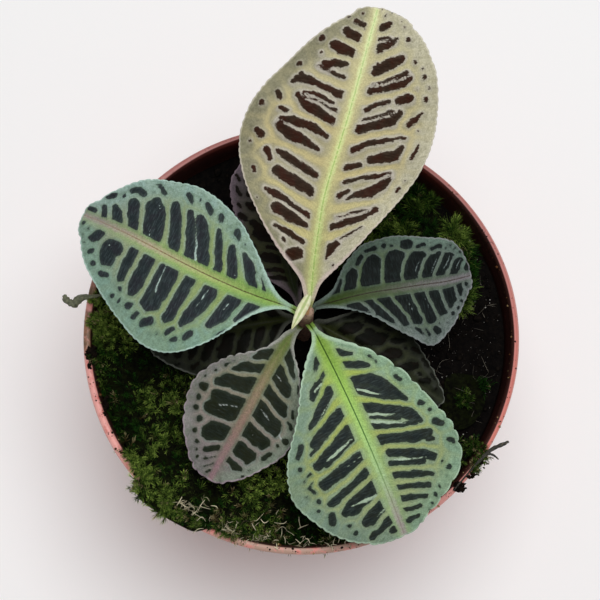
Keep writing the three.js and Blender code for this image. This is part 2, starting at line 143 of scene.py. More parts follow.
# A shader value or colour, which takes part in sums as a number does.
class Shade:
    def __init__(self, socket):
        self.socket, self.tree = socket, socket.id_data

    def __add__(self, other):
        return maths("ADD", self, other)

    def __radd__(self, other):
        return maths("ADD", other, self)

    def __sub__(self, other):
        return maths("SUBTRACT", self, other)

    def __rsub__(self, other):
        return maths("SUBTRACT", other, self)

    def __mul__(self, other):
        return maths("MULTIPLY", self, other)

    def __rmul__(self, other):
        return maths("MULTIPLY", other, self)

    def __truediv__(self, other):
        return maths("DIVIDE", self, other)

    def __abs__(self):
        return maths("ABSOLUTE", self)


# Inputs may be shades, numbers, vectors, or colours written as in "cd7264".
def setInputs(node, inputs):
    for key, value in inputs.items():
        if isinstance(value, Shade):
            value.tree.links.new(value.socket, node.inputs[key])
        else:
            node.inputs[key].default_value = linear(value) if isinstance(value, str) else value


def addNode(tree, kind, inputs, **settings):
    node = tree.nodes.new(kind)
    for key, value in settings.items():
        setattr(node, key, value)
    setInputs(node, inputs)
    return node


# Adds a node that works on at least one shade, and gives what it puts out.
def worked(kind, inputs, output=0, **settings):
    tree = next(value.tree for value in inputs.values() if isinstance(value, Shade))
    return Shade(addNode(tree, kind, inputs, **settings).outputs[output])


def maths(operation, a, b=0.0):
    return worked("ShaderNodeMath", {0: a, 1: b, 2: 0.0}, operation=operation)


def most(a, b):
    return maths("MAXIMUM", a, b)


# A 0 to 1 mask that rises softly as value goes from low to high.
def ramp(value, low, high):
    inputs = {"Value": value, "From Min": low, "From Max": high}
    if low > high:
        inputs = {"Value": value, "From Min": high, "From Max": low, "To Min": 1.0, "To Max": 0.0}
    return worked("ShaderNodeMapRange", inputs, interpolation_type="SMOOTHSTEP")


def blend(factor, a, b, mode="MIX"):
    return worked("ShaderNodeMix", {0: factor, 6: a, 7: b}, 2, data_type="RGBA", blend_type=mode)


def noise(vector, scale, detail=3.0, roughness=0.55):
    inputs = {"Vector": vector, "Scale": scale, "Detail": detail, "Roughness": roughness}
    return worked("ShaderNodeTexNoise", inputs)


def stretched(vector, scale):
    return worked("ShaderNodeVectorMath", {0: vector, 1: scale}, operation="MULTIPLY")


def separated(vector):
    node = addNode(vector.tree, "ShaderNodeSeparateXYZ", {0: vector})
    return [Shade(socket) for socket in node.outputs]


def bumpNormal(height, strength, distance):
    return worked("ShaderNodeBump", {"Height": height, "Strength": strength, "Distance": distance})


def attribute(tree, name, output="Fac"):
    return Shade(addNode(tree, "ShaderNodeAttribute", {}, attribute_name=name).outputs[output])


def objectPlace(tree):
    return Shade(addNode(tree, "ShaderNodeTexCoord", {}).outputs["Object"])


def shades(node):
    return {socket.name: Shade(socket) for socket in node.outputs if socket.name}


def newMaterial(name):
    material = bpy.data.materials.new(name)
    material.use_nodes = True
    return material, material.node_tree


# Gives a group inputs or outputs, from the names of its vectors and of its numbers.
def addSockets(tree, way, vectors, numbers):
    for name in vectors:
        tree.interface.new_socket(name, in_out=way, socket_type="NodeSocketVector")
    for name in numbers:
        tree.interface.new_socket(name, in_out=way, socket_type="NodeSocketFloat")


# A roughness that swings upwards from its least with a grain, and bumps from a height.
def makeGrain():
    tree = bpy.data.node_groups.new("surfaceGrain", "ShaderNodeTree")
    addSockets(tree, "INPUT", (), ("Grain", "Least", "Swing", "Height", "Strength", "Distance"))
    addSockets(tree, "OUTPUT", ("Normal",), ("Roughness",))
    given = shades(tree.nodes.new("NodeGroupInput"))
    setInputs(tree.nodes.new("NodeGroupOutput"), {
        "Roughness": given["Least"] + given["Grain"] * given["Swing"],
        "Normal": bumpNormal(given["Height"], given["Strength"], given["Distance"]),
    })
    return tree


surfaceGrain = makeGrain()


# Roughness is its least and its swing, and bump its strength and its distance.
def finish(material, colour, grain, roughness, bump, shine=0.5, height=None):
    node = addNode(material.node_tree, "ShaderNodeGroup", {}, node_tree=surfaceGrain)
    setInputs(node, {"Grain": grain, "Least": roughness[0], "Swing": roughness[1],
                     "Height": height or grain, "Strength": bump[0], "Distance": bump[1]})
    setInputs(material.node_tree.nodes["Principled BSDF"],
              {"Base Color": colour, "Specular IOR Level": shine, **shades(node)})
    return material


# Fractions of a leaf's length at which the lists below give its midrib's and edges' distances (mm) from
# the straight line between the ends of its blade.
widthStations = np.array([0, 0.05, 0.12, 0.22, 0.35, 0.5, 0.65, 0.8, 0.9, 0.965, 1])
straight = [0] * 11


# A smooth curve through the values that a list gives at the widthStations.
def valueAt(values, along):
    values, along = np.asarray(values, float), np.asarray(along, float)
    last = len(widthStations) - 1
    i = np.clip(np.searchsorted(widthStations, along) - 1, 0, last - 1)
    span = widthStations[i + 1] - widthStations[i]
    t = np.clip((along - widthStations[i]) / span, 0, 1)

    def slope(j):
        before, after = np.maximum(j - 1, 0), np.minimum(j + 1, last)
        return (values[after] - values[before]) / (widthStations[after] - widthStations[before])

    rise = t * t * (3 - 2 * t)
    leave, arrive = t * (1 - t) ** 2 * span * slope(i), t * t * (t - 1) * span * slope(i + 1)
    return lerp(values[i], values[i + 1], rise) + leave + arrive


def edgeFromMidrib(edge, midribSide, along):
    roundFrom = widthStations[-2]
    reach = valueAt(edge, np.minimum(along, roundFrom)) - midribSide
    past = np.maximum(along - roundFrom, 0) / (1 - roundFrom)
    return np.maximum(reach * np.sqrt(np.maximum(1 - past * past, 0)), 0.02)


# Reads cells, the fields between a leaf's veins, parted by semicolons. A cell holds marks parted by
# slashes, each a chain of "along across halfWidth" in millimetres, with across to the left of the midrib.
def readCells(text):
    cells = []
    for cell in filter(None, (part.strip() for part in text.split(";"))):
        chains = [chain.replace(",", " ").split() for chain in cell.split("/")]
        cells.append([np.array([float(word) for word in chain]).reshape(-1, 3) for chain in chains])
    return cells


# Draws the marks that start near the midrib a little further in towards it.
def reachingIn(cells, amount):
    for cell in cells:
        for mark in cell:
            if len(mark) > 1 and abs(mark[0, 1]) < 5.6:
                step = mark[0, :2] - mark[1, :2]
                mark[0, :2] += step / np.linalg.norm(step) * amount
                mark[0, 2] += 0.1
    return cells


# Adds the same cells on the midrib's other side, each a little out of step.
def mirroredToo(cells, seed):
    draw = np.random.RandomState(seed)
    other = []
    for cell in cells:
        shift, stretch = draw.uniform(0.3, 1.6), draw.uniform(0.85, 1.1)
        other.append([mark * (1, -stretch, 1) + (shift, 0, 0) for mark in cell])
    return cells + other


# Distance (mm) from the outline of a cell's nearest mark, negative inside it. Grow widens the broad marks.
def distanceToCell(cell, along, across, grow=0.0):
    return np.min([distanceToMark(mark, along, across, grow) for mark in cell], axis=0)


# Distance (mm) from the pale gaps that part the long limbs of the cells.
def distanceToGaps(cells, along, across, grow, gapHalf):
    nearest = np.full(along.shape, 9.0)
    for cell in cells:
        limbs = [distanceToMark(mark, along, across, grow) for mark in cell if len(mark) > 1]
        if len(limbs) > 1:
            first, second = np.partition(limbs, 1, axis=0)[:2]
            between = np.maximum((second - first) / 2 - gapHalf, -0.1 - second)
            nearest = np.minimum(nearest, np.maximum(between, second - 1.2))
    return nearest


def distanceToMark(mark, along, across, grow):
    nearest = np.full(along.shape, 9.0)
    chain = mark if len(mark) > 1 else np.concatenate([mark, mark + [0.05, 0, 0]])
    for (x0, y0, r0), (x1, y1, r1) in zip(chain[:-1], chain[1:]):
        dx, dy = x1 - x0, y1 - y0
        t = np.clip(((along - x0) * dx + (across - y0) * dy) / (dx * dx + dy * dy), 0, 1)
        half = lerp(r0, r1, t)
        half = half + grow * np.minimum(half / 1.1, 1)
        nearest = np.minimum(nearest, np.hypot(along - x0 - t * dx, across - y0 - t * dy) - half)
    return nearest


stem = {"foot": (0.6, 1.2, 73), "top": (0.3, 2.4, 118.5), "footRadius": 2.5, "topRadius": 1.7,
        "rings": 150, "sides": 40, "roundFrom": 0.97}


def stemAxis(z):
    foot, top = np.array(stem["foot"]), np.array(stem["top"])
    return foot + (top - foot) * (z - foot[2]) / (top[2] - foot[2])


# Builds a leaf: a closed blade with a groove over its midrib, quilted between its veins, scalloped along
# its edge, and a trough-shaped stalk that runs on to the stem.
def buildLeaf(leaf):
    cell = leaf["cell"]
    base, tip = np.array(leaf["base"], float), np.array(leaf["tip"], float)
    chord = tip - base
    length = np.hypot(*chord)
    left = np.array([-chord[1], chord[0]]) / length
    start, middle, end = leaf["heights"]

    fine = np.linspace(0, 1, 4000)
    midFine = valueAt(leaf["midrib"], fine)
    leftFine = edgeFromMidrib(leaf["left"], midFine, fine)
    rightFine = edgeFromMidrib(leaf["right"], -midFine, fine)
    steps = np.maximum(np.abs(np.diff(fine)) * length,
                       np.maximum(np.abs(np.diff(leftFine)), np.abs(np.diff(rightFine))))
    travelled = np.concatenate([[0], np.cumsum(steps)])
    bladeRows = int(travelled[-1] / cell) + 1
    along = np.interp(np.linspace(0, travelled[-1], bladeRows), travelled, fine)
    stalkRows = 10
    stalk = np.linspace(-1, 0, stalkRows, endpoint=False)
    widest = max(leftFine.max(), rightFine.max())
    half = max(int(widest / cell), 8)
    share = np.linspace(-1, 1, 2 * half + 1)
    share = np.sign(share) * np.abs(share) ** 0.93

    rows = stalkRows + bladeRows
    place = np.concatenate([np.zeros(stalkRows), along])
    toStem = np.concatenate([-stalk, np.zeros(bladeRows)])
    mid = valueAt(leaf["midrib"], place)
    leftEdge = lerp(edgeFromMidrib(leaf["left"], mid, place), 1.0, toStem)
    rightEdge = lerp(edgeFromMidrib(leaf["right"], -mid, place), 1.0, toStem)
    across = np.where(share > 0, leftEdge[:, None] * share, rightEdge[:, None] * share)
    alongGrid = np.repeat(place[:, None], len(share), 1)
    alongMm = alongGrid * length - toStem[:, None] * 4

    # the outline, for distances from the edge and for the scallops
    sideStep = np.linspace(0, travelled[-1], int(travelled[-1] / 0.12))
    outlineAlong = np.interp(sideStep, travelled, fine)
    outlineMid = valueAt(leaf["midrib"], outlineAlong)
    edges = []
    for edge, sign in ((leaf["left"], 1), (leaf["right"], -1)):
        reach = edgeFromMidrib(edge, sign * outlineMid, outlineAlong) * sign + outlineMid
        edges.append(np.stack([outlineAlong * length, reach], -1))
    outline = np.concatenate([edges[0], edges[1][::-1]])
    onLeft = np.arange(len(outline)) < len(edges[0])
    gaps = np.hypot(*np.diff(outline, axis=0).T)
    keep = np.concatenate([[True], gaps > 1e-6])
    outline, onLeft = outline[keep], onLeft[keep]
    walked = np.concatenate([[0], np.cumsum(np.hypot(*np.diff(outline, axis=0).T))])
    tangent = np.gradient(outline, axis=0)
    tangent /= np.maximum(np.hypot(*tangent.T), 1e-9)[:, None]
    outward = np.stack([-tangent[:, 1], tangent[:, 0]], -1)
    flat = np.stack([alongMm.ravel(), (across + mid[:, None]).ravel()], -1)
    nearest = np.empty(len(flat), int)
    for first in range(0, len(flat), 4000):
        block = flat[first:first + 4000]
        gap2 = ((block[:, None, :] - outline[None, ::3, :]) ** 2).sum(-1)
        nearest[first:first + 4000] = gap2.argmin(1) * 3
    edgeMm = np.hypot(*(flat - outline[nearest]).T).reshape(across.shape)

    # scallops: round lobes with sharp notches, uneven in length
    pitch = np.where(onLeft, leaf["scallop"][0], leaf["scallop"][1])
    depth = np.where(onLeft, leaf["scallopDepth"][0], leaf["scallopDepth"][1])
    uneven = walked + pitch * 0.4 * softNoise(walked, walked * 0, 5, leaf["seed"])
    uneven = uneven + pitch * 0.3 * softNoise(walked, walked * 0 + 40, 19, leaf["seed"] + 1)
    lobe = np.abs(np.sin(np.pi * uneven / pitch))
    deep = depth * (1 + 0.5 * softNoise(walked, walked * 0 + 9, 5, leaf["seed"] + 2))
    notch = -deep * (1 - lobe ** 0.6) * smoothstep(3, 9, outline[:, 0])
    fade = np.exp(-edgeMm.ravel() / 0.7)
    moved = (outward[nearest] * (notch[nearest] * fade)[:, None]).reshape(across.shape + (2,))

    # islands fill their cells, up to the veins, which run midway between cells, and up to the midrib
    cells = reachingIn(readCells(leaf["islands"]), leaf["reachIn"])
    if leaf["mirrored"]:
        cells = mirroredToo(cells, leaf["seed"])
    marksAlong = alongMm + 0.22 * softNoise(alongMm, across, 1.6, leaf["seed"] + 3)
    marksAcross = across + 0.2 * softNoise(alongMm, across, 1.3, leaf["seed"] + 4)
    away = np.array([distanceToCell(cell, marksAlong, marksAcross, leaf["grow"]) for cell in cells])
    large = [len(cell) > 1 or np.ptp(cell[0][:, 1]) > 3 for cell in cells]
    field = away[np.array(large)].min(0)
    order = np.argsort(away, axis=0)[:2]
    closest, second = np.take_along_axis(away, order, 0)
    vein = (second - closest) / 2
    middles = np.array([np.concatenate(cell)[:, 0].mean() for cell in cells])
    side = np.where(middles[order[0]] > middles[order[1]], 1, -1) * np.minimum(vein / 0.5, 1)
    clear = np.where(across > 0, leaf["clear"][0], leaf["clear"][1])
    clear = clear * (1 - 0.55 * smoothstep(0.8, 1, alongGrid))
    island = np.maximum(closest, np.maximum(leaf["veinHalf"] - vein, clear - np.abs(across)))
    streaks = readCells(leaf["streaks"])
    gaps = distanceToGaps(cells, marksAlong, marksAcross, leaf["grow"], leaf["gap"])
    gaps = np.maximum(gaps, np.maximum(clear + 0.5 - np.abs(across), field - 0.3))
    streak = np.min([distanceToCell(cell, marksAlong, marksAcross) for cell in streaks] + [gaps], axis=0)

    # heights
    rest = 1 - alongGrid
    ridge = start * rest * (rest - alongGrid) + 4 * middle * alongGrid * rest
    ridge = ridge + end * alongGrid * (alongGrid - rest)
    out = np.abs(across)
    fold = leaf["upturn"] * (1 - smoothstep(0, 0.45, alongGrid)) * out
    bend = leaf["droop"] * smoothstep(0.1, 0.7, alongGrid) * out * out / 12
    edgeShare = np.abs(share)[None, :]
    lag = np.where(share < 0, 1.7, 0)[None, :]
    wave = 0.7 * edgeShare ** 2 * np.sin(alongGrid * 23 + lag) * smoothstep(0.1, 0.4, alongGrid)
    groove = -0.55 * np.exp(-(across / 0.8) ** 2) * (1 - 0.5 * alongGrid)
    shoulders = 0.35 * np.exp(-((out - 2.2) / 1.3) ** 2) * smoothstep(0, 0.12, alongGrid)
    quilt = 0.5 * smoothstep(1.3, -0.6, island) * smoothstep(0.05, 0.2, alongGrid)
    crumple = 0.18 * roughNoise(alongMm, across, 7, leaf["seed"] + 5)
    ruffle = 0.35 * np.exp(-edgeMm / 1.6) * softNoise(alongMm, across, 3.2, leaf["seed"] + 6)
    z = ridge + fold - bend + wave + groove + shoulders + quilt + crumple
    z = z + ruffle * smoothstep(0.1, 0.25, alongGrid)

    x = base[0] + chord[0] * alongGrid + left[0] * (mid[:, None] + across)
    y = base[1] + chord[1] * alongGrid + left[1] * (mid[:, None] + across)
    unit = chord / length
    x = x + unit[0] * moved[..., 0] + left[0] * moved[..., 1]
    y = y + unit[1] * moved[..., 0] + left[1] * moved[..., 1]
    foot = stemAxis(leaf["root"])
    t = toStem[:, None]
    sag = t ** 1.6
    x = x + (foot[0] - base[0]) * t
    y = y + (foot[1] - base[1]) * t
    z = z + (foot[2] - start) * sag

    midribBody = 0.75 * np.exp(-(across / 0.75) ** 2) * (1 - 0.75 * alongGrid)
    thick = 0.42 + midribBody + 0.5 * t - 0.12 * np.exp(-edgeMm / 0.5)
    under = z - thick - 0.12 * smoothstep(0.5, 0.9, island) * smoothstep(4, 2, island)
    top = np.stack([x, y, z], -1)
    low = np.stack([x, y, under], -1)
    return top, low, alongMm, across, edgeMm, island, streak, vein, field, side


def leafPiece(leaf):
    top, low, along, across, edge, island, streak, vein, field, side = buildLeaf(leaf)
    rows, columns = along.shape
    count = rows * columns
    faces = sheetFaces(rows, columns)
    slots = np.concatenate([np.full(len(part), k) for part, k in zip(faces, (0, 1, 0))])
    points = np.concatenate([top.reshape(-1, 3), low.reshape(-1, 3)])
    both = lambda values: np.concatenate([values.ravel(), values.ravel()])
    vectors = {
        "sheet": np.stack([both(along), both(across), both(edge)], -1),
        "marks": np.stack([both(island), both(vein), both(streak)], -1),
    }
    floats = {"field": both(field), "side": both(side)}
    materials = [leafTopMaterial(leaf), leafUnderMaterial(leaf)]
    piece = meshPiece(leaf["name"] + "_blade", points, faces, slots, materials, floats, vectors)
    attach(piece, "root")
    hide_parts(leaf["name"])


# Where a leaf's colours lie, as masks from 0 to 1. Sheet holds millimetres along the blade, across it and
# from its edge. Marks holds millimetres from the nearest dark island, from the middle of the nearest vein
# and from the nearest pale streak. Side is 1 towards the leaf's tip from a vein and -1 towards its base.
def makeLeafMasks():
    tree = bpy.data.node_groups.new("labisiaLeafMasks", "ShaderNodeTree")
    addSockets(tree, "INPUT", ("Sheet", "Marks"), ("Field", "Side", "Midrib Width", "Vein Width",
                                                   "Margin Width", "Dotted", "Edge Jag", "Length"))
    addSockets(tree, "OUTPUT", (), (
        "Island", "Core", "Fringe", "Vein", "Pale", "Cell", "Streak", "Midrib", "Glow", "Midline", "Margin",
        "Left", "Lip", "Mottle", "Blotch", "Grain", "Fibre", "Onward"))
    given = shades(tree.nodes.new("NodeGroupInput"))
    sheet = given["Sheet"]
    along, across, edge = separated(sheet)
    island, vein, streak = separated(given["Marks"])
    out = abs(across)
    coarse = noise(sheet, 0.9, 2.0) - 0.5
    slant = along - out * 0.42  # as the side veins lean
    leaning = worked("ShaderNodeCombineXYZ", {0: slant, 1: across * 0.22})
    teeth = noise(leaning, 3.6, 3.0, 0.65) - 0.5
    jag = (coarse + teeth * 1.6) * given["Edge Jag"]
    islandEdge = island + jag
    onward = along / given["Length"]
    ribHalf = given["Midrib Width"] * (1.1 - onward * 0.5)
    ribEdge = out - ribHalf + coarse * 1.1
    taper = 1.6 - ramp(out, 1.5, 10.0) * 0.8
    veinEdge = vein + jag * 0.3 - given["Vein Width"] * taper
    dots = ramp(noise(stretched(sheet, (1.0, 0.3, 0.0)), 1.6, 2.0, 0.6), 0.36, 0.52)
    dots = most(dots, 1.0 - given["Dotted"])
    pale = ramp(given["Side"], 0.0, -0.6) * ramp(islandEdge, 0.65, 0.3)
    inward = edge + coarse * 2.0
    lipWidth = 0.6 + ramp(onward, 0.24, 0.05)
    setInputs(tree.nodes.new("NodeGroupOutput"), {
        "Island": ramp(islandEdge, 0.12, -0.12),
        "Core": ramp(islandEdge, -0.1, -1.0),
        "Fringe": ramp(islandEdge, 0.75, 0.0),
        "Vein": ramp(veinEdge, 0.55, -0.35),
        "Cell": ramp(given["Field"], 1.3, 0.2) * ramp(veinEdge, -0.1, 0.4),
        "Streak": ramp(streak + jag * 0.9, 0.12, -0.1),
        "Pale": pale * ramp(given["Field"], 1.4, 0.8),
        "Midrib": ramp(ribEdge, 0.6, -0.5),
        "Glow": ramp(out - ribHalf, 2.6, 0.0),
        "Midline": dots * ramp(out + jag * 0.2, 0.27, 0.07),
        "Margin": ramp(inward / given["Margin Width"], 1.0, 0.3),
        "Left": ramp(across, -2.0, 2.0),
        "Lip": ramp(edge / lipWidth, 1.0, 0.25),
        "Mottle": noise(sheet, 0.22, 4.0),
        "Blotch": ramp(noise(sheet, 0.75, 4.0, 0.7), 0.42, 0.64),
        "Grain": noise(sheet, 3.2, 3.0, 0.6),
        "Fibre": noise(leaning, 2.2, 4.0, 0.7),
        "Onward": onward,
    })
    return tree


leafMasks = makeLeafMasks()


# A colour that runs through the given ones, evenly spaced, from a leaf's base to its tip.
def alongLeaf(onward, colours):
    node = addNode(onward.tree, "ShaderNodeValToRGB", {0: onward})
    stops = node.color_ramp.elements
    while len(stops) < len(colours):
        stops.new(0.5)
    for k, (stop, colour) in enumerate(zip(stops, colours)):
        stop.position = 0.12 + 0.8 * k / (len(colours) - 1)
        stop.color = linear(colour)
    return Shade(node.outputs[0])


def leafMaskNode(tree, leaf, midribWidth):
    look = leaf["look"]
    masks = addNode(tree, "ShaderNodeGroup", {}, node_tree=leafMasks)
    setInputs(masks, {
        "Sheet": attribute(tree, "sheet", "Vector"), "Marks": attribute(tree, "marks", "Vector"),
        "Field": attribute(tree, "field"), "Side": attribute(tree, "side"), "Dotted": look["dotted"],
        "Midrib Width": midribWidth, "Vein Width": look["veinWidth"], "Edge Jag": look["jag"],
        "Margin Width": look["marginWidth"], "Length": math.dist(leaf["base"], leaf["tip"]),
    })
    return shades(masks)


def leafTopMaterial(leaf):
    look = leaf["look"]
    material, tree = newMaterial(leaf["name"] + "_upperFace")
    mask = leafMaskNode(tree, leaf, look["midribWidth"])
    mottle = ramp(mask["Mottle"], 0.4, 0.64)
    net = alongLeaf(mask["Onward"], look["net"])
    mottled = blend(mottle * 0.5, net, look["netAlt"])
    # the margin's two sides take different colours, one darker as painted shade where light falls across the
    # blade
    margin = blend(mask["Left"], look["margin"][1], look["margin"][0])
    blotched = blend(mask["Blotch"] * 0.6, margin, look["marginAlt"])
    margined = blend(mask["Margin"] * 0.9, mottled, blotched)
    celled = blend(mask["Cell"] * look["cellShare"], margined, look["cell"])
    vein = alongLeaf(mask["Onward"], look["vein"])
    faded = mask["Vein"] * (1.0 - mask["Margin"] * 0.8)
    veined = blend(faded * look["veinShare"], celled, vein)
    broken = mask["Pale"] * (0.45 + mask["Blotch"] * 0.55)
    paled = blend(broken * look["paleShare"], veined, look["pale"])
    glow = alongLeaf(mask["Onward"], look["glow"])
    glowing = blend(mask["Glow"] * look["glowShare"], paled, glow)
    midrib = blend(mask["Blotch"] * 0.4, alongLeaf(mask["Onward"], look["midrib"]), glow)
    ribbed = blend(mask["Midrib"], glowing, midrib)
    line = alongLeaf(mask["Onward"], look["midline"])
    lined = blend(mask["Midline"] * look["midlineShare"], ribbed, line)
    dark = blend(mask["Core"], look["island"][0], look["island"][1])
    darkMottled = blend(mottle * look["islandAltShare"], dark, look["islandAlt"])
    # paler streaks along the dark islands: partly fibres, partly a painted sheen
    stripes = noise(stretched(attribute(tree, "sheet", "Vector"), (2.4, 0.35, 0.0)), 1.2, 3.0)
    striped = blend(ramp(stripes, 0.45, 0.7) * 0.5, darkMottled, look["islandSheen"])
    fringed = blend(mask["Fringe"] * look["fringeShare"], lined, look["fringe"])
    patterned = blend(mask["Island"], fringed, striped)
    streaked = blend(mask["Streak"] * look["streakShare"], patterned, look["streak"])
    lipped = blend(mask["Lip"] * 0.75, streaked, alongLeaf(mask["Onward"], look["lip"]))
    texture = mask["Grain"] * 0.65 + mask["Fibre"] * 0.35
    grey = blend(ramp(texture, 0.32, 0.68), (0.15, 0.15, 0.15, 1), (0.85, 0.85, 0.85, 1))
    speckled = blend(look["fibreShare"], lipped, grey, "OVERLAY")
    height = mask["Fibre"] * 0.8 + mask["Grain"] * 0.4 + mask["Island"] * 0.4
    shine = 0.16 - mask["Island"] * 0.1
    return finish(material, speckled, mask["Grain"], (0.45, 0.2), (0.5, 0.0002), shine, height)


def leafUnderMaterial(leaf):
    look = leaf["look"]
    material, tree = newMaterial(leaf["name"] + "_underFace")
    mask = leafMaskNode(tree, leaf, 1.0)
    tissue = blend(ramp(mask["Mottle"], 0.35, 0.65), look["under"][0], look["under"][1])
    shaded = blend(mask["Island"] * 0.45, tissue, look["island"][1])
    ribbed = blend(mask["Midrib"], shaded, look["underRib"])
    return finish(material, ribbed, mask["Grain"], (0.5, 0.2), (0.4, 0.0002), 0.2)


creamLook = {
    "marginWidth": 7.5,
    "net": ("a09a72", "a39c7c", "aaa68c"), "netAlt": "8f8868", "margin": ("77755e", "b8b49c"),
    "marginAlt": "8f8b72", "cell": "a8a392", "cellShare": 0.8,
    "vein": ("bdb57c", "bbae7e", "b6b08a"), "veinWidth": 0.55, "veinShare": 0.85,
    "pale": "bcb6a2", "paleShare": 0.35, "glow": ("b4b27c", "c6bf8a", "ccc698"), "glowShare": 0.75,
    "fibreShare": 0.36, "midrib": ("c4cf90", "d2dc9a", "dae4ac"), "midribWidth": 0.9,
    "midline": ("7f9f4c", "90b25c", "b0c688"), "midlineShare": 0.8, "dotted": 1.0, "jag": 0.7,
    "fringe": "b0aa9c", "fringeShare": 0.45, "island": ("33281e", "27190f"), "islandAlt": "361308",
    "islandAltShare": 0.6, "islandSheen": "433428", "streak": "b9b3a6", "streakShare": 0.8,
    "lip": ("c8b6b0", "cfcab8", "cfcab8"), "under": ("9a9478", "8a8064"), "underRib": "b4b688",
}
mintLook = {
    "marginWidth": 9.5,
    "net": ("78925e", "7f9272", "828f84"), "netAlt": "62786a", "margin": ("7b9a8b", "8faaa2"),
    "marginAlt": "5f796c", "cell": "86997c", "cellShare": 0.5,
    "vein": ("869c52", "859466", "858e7a"), "veinWidth": 0.55, "veinShare": 0.9,
    "pale": "a0b4a4", "paleShare": 0.75, "glow": ("84ac52", "8caa60", "8f9c78"), "glowShare": 0.75,
    "fibreShare": 0.42, "midrib": ("98b668", "a8b274", "ada28a", "928a84"), "midribWidth": 1.2,
    "midline": ("45401e", "5c4a2c", "857052", "8a7d70"), "midlineShare": 1.0, "dotted": 0.3, "jag": 0.32,
    "fringe": "54684e", "fringeShare": 0.35, "island": ("303936", "20282a"), "islandAlt": "27232b",
    "islandAltShare": 0.5, "islandSheen": "465254", "streak": "a9bfb6", "streakShare": 0.9,
    "lip": ("b4d0c4", "b4d0c4"), "under": ("71846c", "60715a"), "underRib": "8fa070",
}
# The lime look's midrib begins darker, as painted shade near the stalk.
limeLook = {
    "marginWidth": 8.0,
    "net": ("7a9058", "7c8f6e", "7a8c7c"), "netAlt": "667a5c", "margin": ("86a488", "7d9482"),
    "marginAlt": "66806a", "cell": "93a688", "cellShare": 0.65,
    "vein": ("98ae4a", "9ca65a", "96a47c"), "veinWidth": 0.46, "veinShare": 0.95,
    "pale": "9fb296", "paleShare": 0.3, "glow": ("97b85c", "97b465", "93ab7c"), "glowShare": 0.75,
    "fibreShare": 0.42, "midrib": ("8cad50", "a0c564", "a6c97a", "a4c08e", "a39c96"), "midribWidth": 1.35,
    "midline": ("2f4c12", "35581a", "48702c", "7c9a62", "948a84"), "midlineShare": 1.0, "dotted": 0.0,
    "jag": 0.38, "fringe": "5a6c4a", "fringeShare": 0.3, "island": ("2a332c", "1d2424"),
    "islandAlt": "282b22", "islandAltShare": 0.5, "islandSheen": "414c4a", "streak": "a4b89f",
    "streakShare": 0.95, "lip": ("b6d0b6", "b6d0b6"), "under": ("788a64", "67784f"),
    "underRib": "94a86c",
}
# The right leaf is painted darker as shade under the back leaf.
sagePaintedShadeLook = {
    "marginWidth": 5.5,
    "net": ("3c4e2b", "3e4d40", "4a5552"), "netAlt": "34423a", "margin": ("64796d", "727c79"),
    "marginAlt": "35423c", "cell": "4c5b50", "cellShare": 0.5,
    "vein": ("5a6e42", "617258", "69756c"), "veinWidth": 0.45, "veinShare": 0.8,
    "pale": "74827c", "paleShare": 0.6, "glow": ("435628", "485838", "565e52"), "glowShare": 0.6,
    "fibreShare": 0.42, "midrib": ("425428", "4c573f", "686864", "777377"), "midribWidth": 1.25,
    "midline": ("20170a", "281d12", "453a37"), "midlineShare": 0.95, "dotted": 0.3, "jag": 0.32,
    "fringe": "35423c", "fringeShare": 0.3, "island": ("181e1c", "0f1412"), "islandAlt": "15171a",
    "islandAltShare": 0.4, "islandSheen": "2a3433", "streak": "8b9b98", "streakShare": 0.6,
    "lip": ("75847f", "8c8c90"), "under": ("4c5a4c", "3f4c40"), "underRib": "5f6c4a",
}
roseLook = {
    "marginWidth": 5.0,
    "net": ("5e6b46", "666b5c", "6a6462"), "netAlt": "566150", "margin": ("869282", "827f7e"),
    "marginAlt": "5f6c5a", "cell": "6c7668", "cellShare": 0.4,
    "vein": ("838b62", "8d8274", "857b7e"), "veinWidth": 0.5, "veinShare": 0.8,
    "pale": "8c9890", "paleShare": 0.7, "glow": ("74804a", "7c7a5c", "7c7468"), "glowShare": 0.5,
    "fibreShare": 0.42, "midrib": ("74844a", "8a7c62", "8a7066", "8e7278"), "midribWidth": 1.15,
    "midline": ("6e6444", "846c58", "806a64"), "midlineShare": 0.5, "dotted": 1.0, "jag": 0.32,
    "fringe": "465042", "fringeShare": 0.3, "island": ("242c21", "181e14"), "islandAlt": "222413",
    "islandAltShare": 0.5, "islandSheen": "2c3431", "streak": "a2aaa6", "streakShare": 0.75,
    "lip": ("a8a8a2", "a894a0"), "under": ("5a6452", "4a5244"), "underRib": "706c50",
}
# The low back leaf is painted darker as shade under the leaves above; its lilac edge is its own colour.
plumPaintedShadeLook = {
    "marginWidth": 3.2,
    "net": ("24280f", "363620", "5a5056"), "netAlt": "1e2210", "margin": ("6e6069", "5a5058"),
    "marginAlt": "4a4148", "cell": "2a2c1c", "cellShare": 0.3,
    "vein": ("363c1c", "3e3e28", "5c5258"), "veinWidth": 0.4, "veinShare": 0.7,
    "pale": "3c4030", "paleShare": 0.3, "glow": ("2a3018", "2e3224"), "glowShare": 0.3,
    "fibreShare": 0.42, "midrib": ("2c341e", "38342c", "443c40"), "midribWidth": 0.8,
    "midline": ("1f2414", "2c2624"), "midlineShare": 0.5, "dotted": 0.5, "jag": 0.5,
    "fringe": "211f1c", "fringeShare": 0.3, "island": ("14120c", "0e0907"), "islandAlt": "1a0c06",
    "islandAltShare": 0.6, "islandSheen": "1e1a14", "streak": "34362e", "streakShare": 0.2,
    "lip": ("6a5e64", "86747e"), "under": ("2a2e24", "22261c"), "underRib": "343824",
}
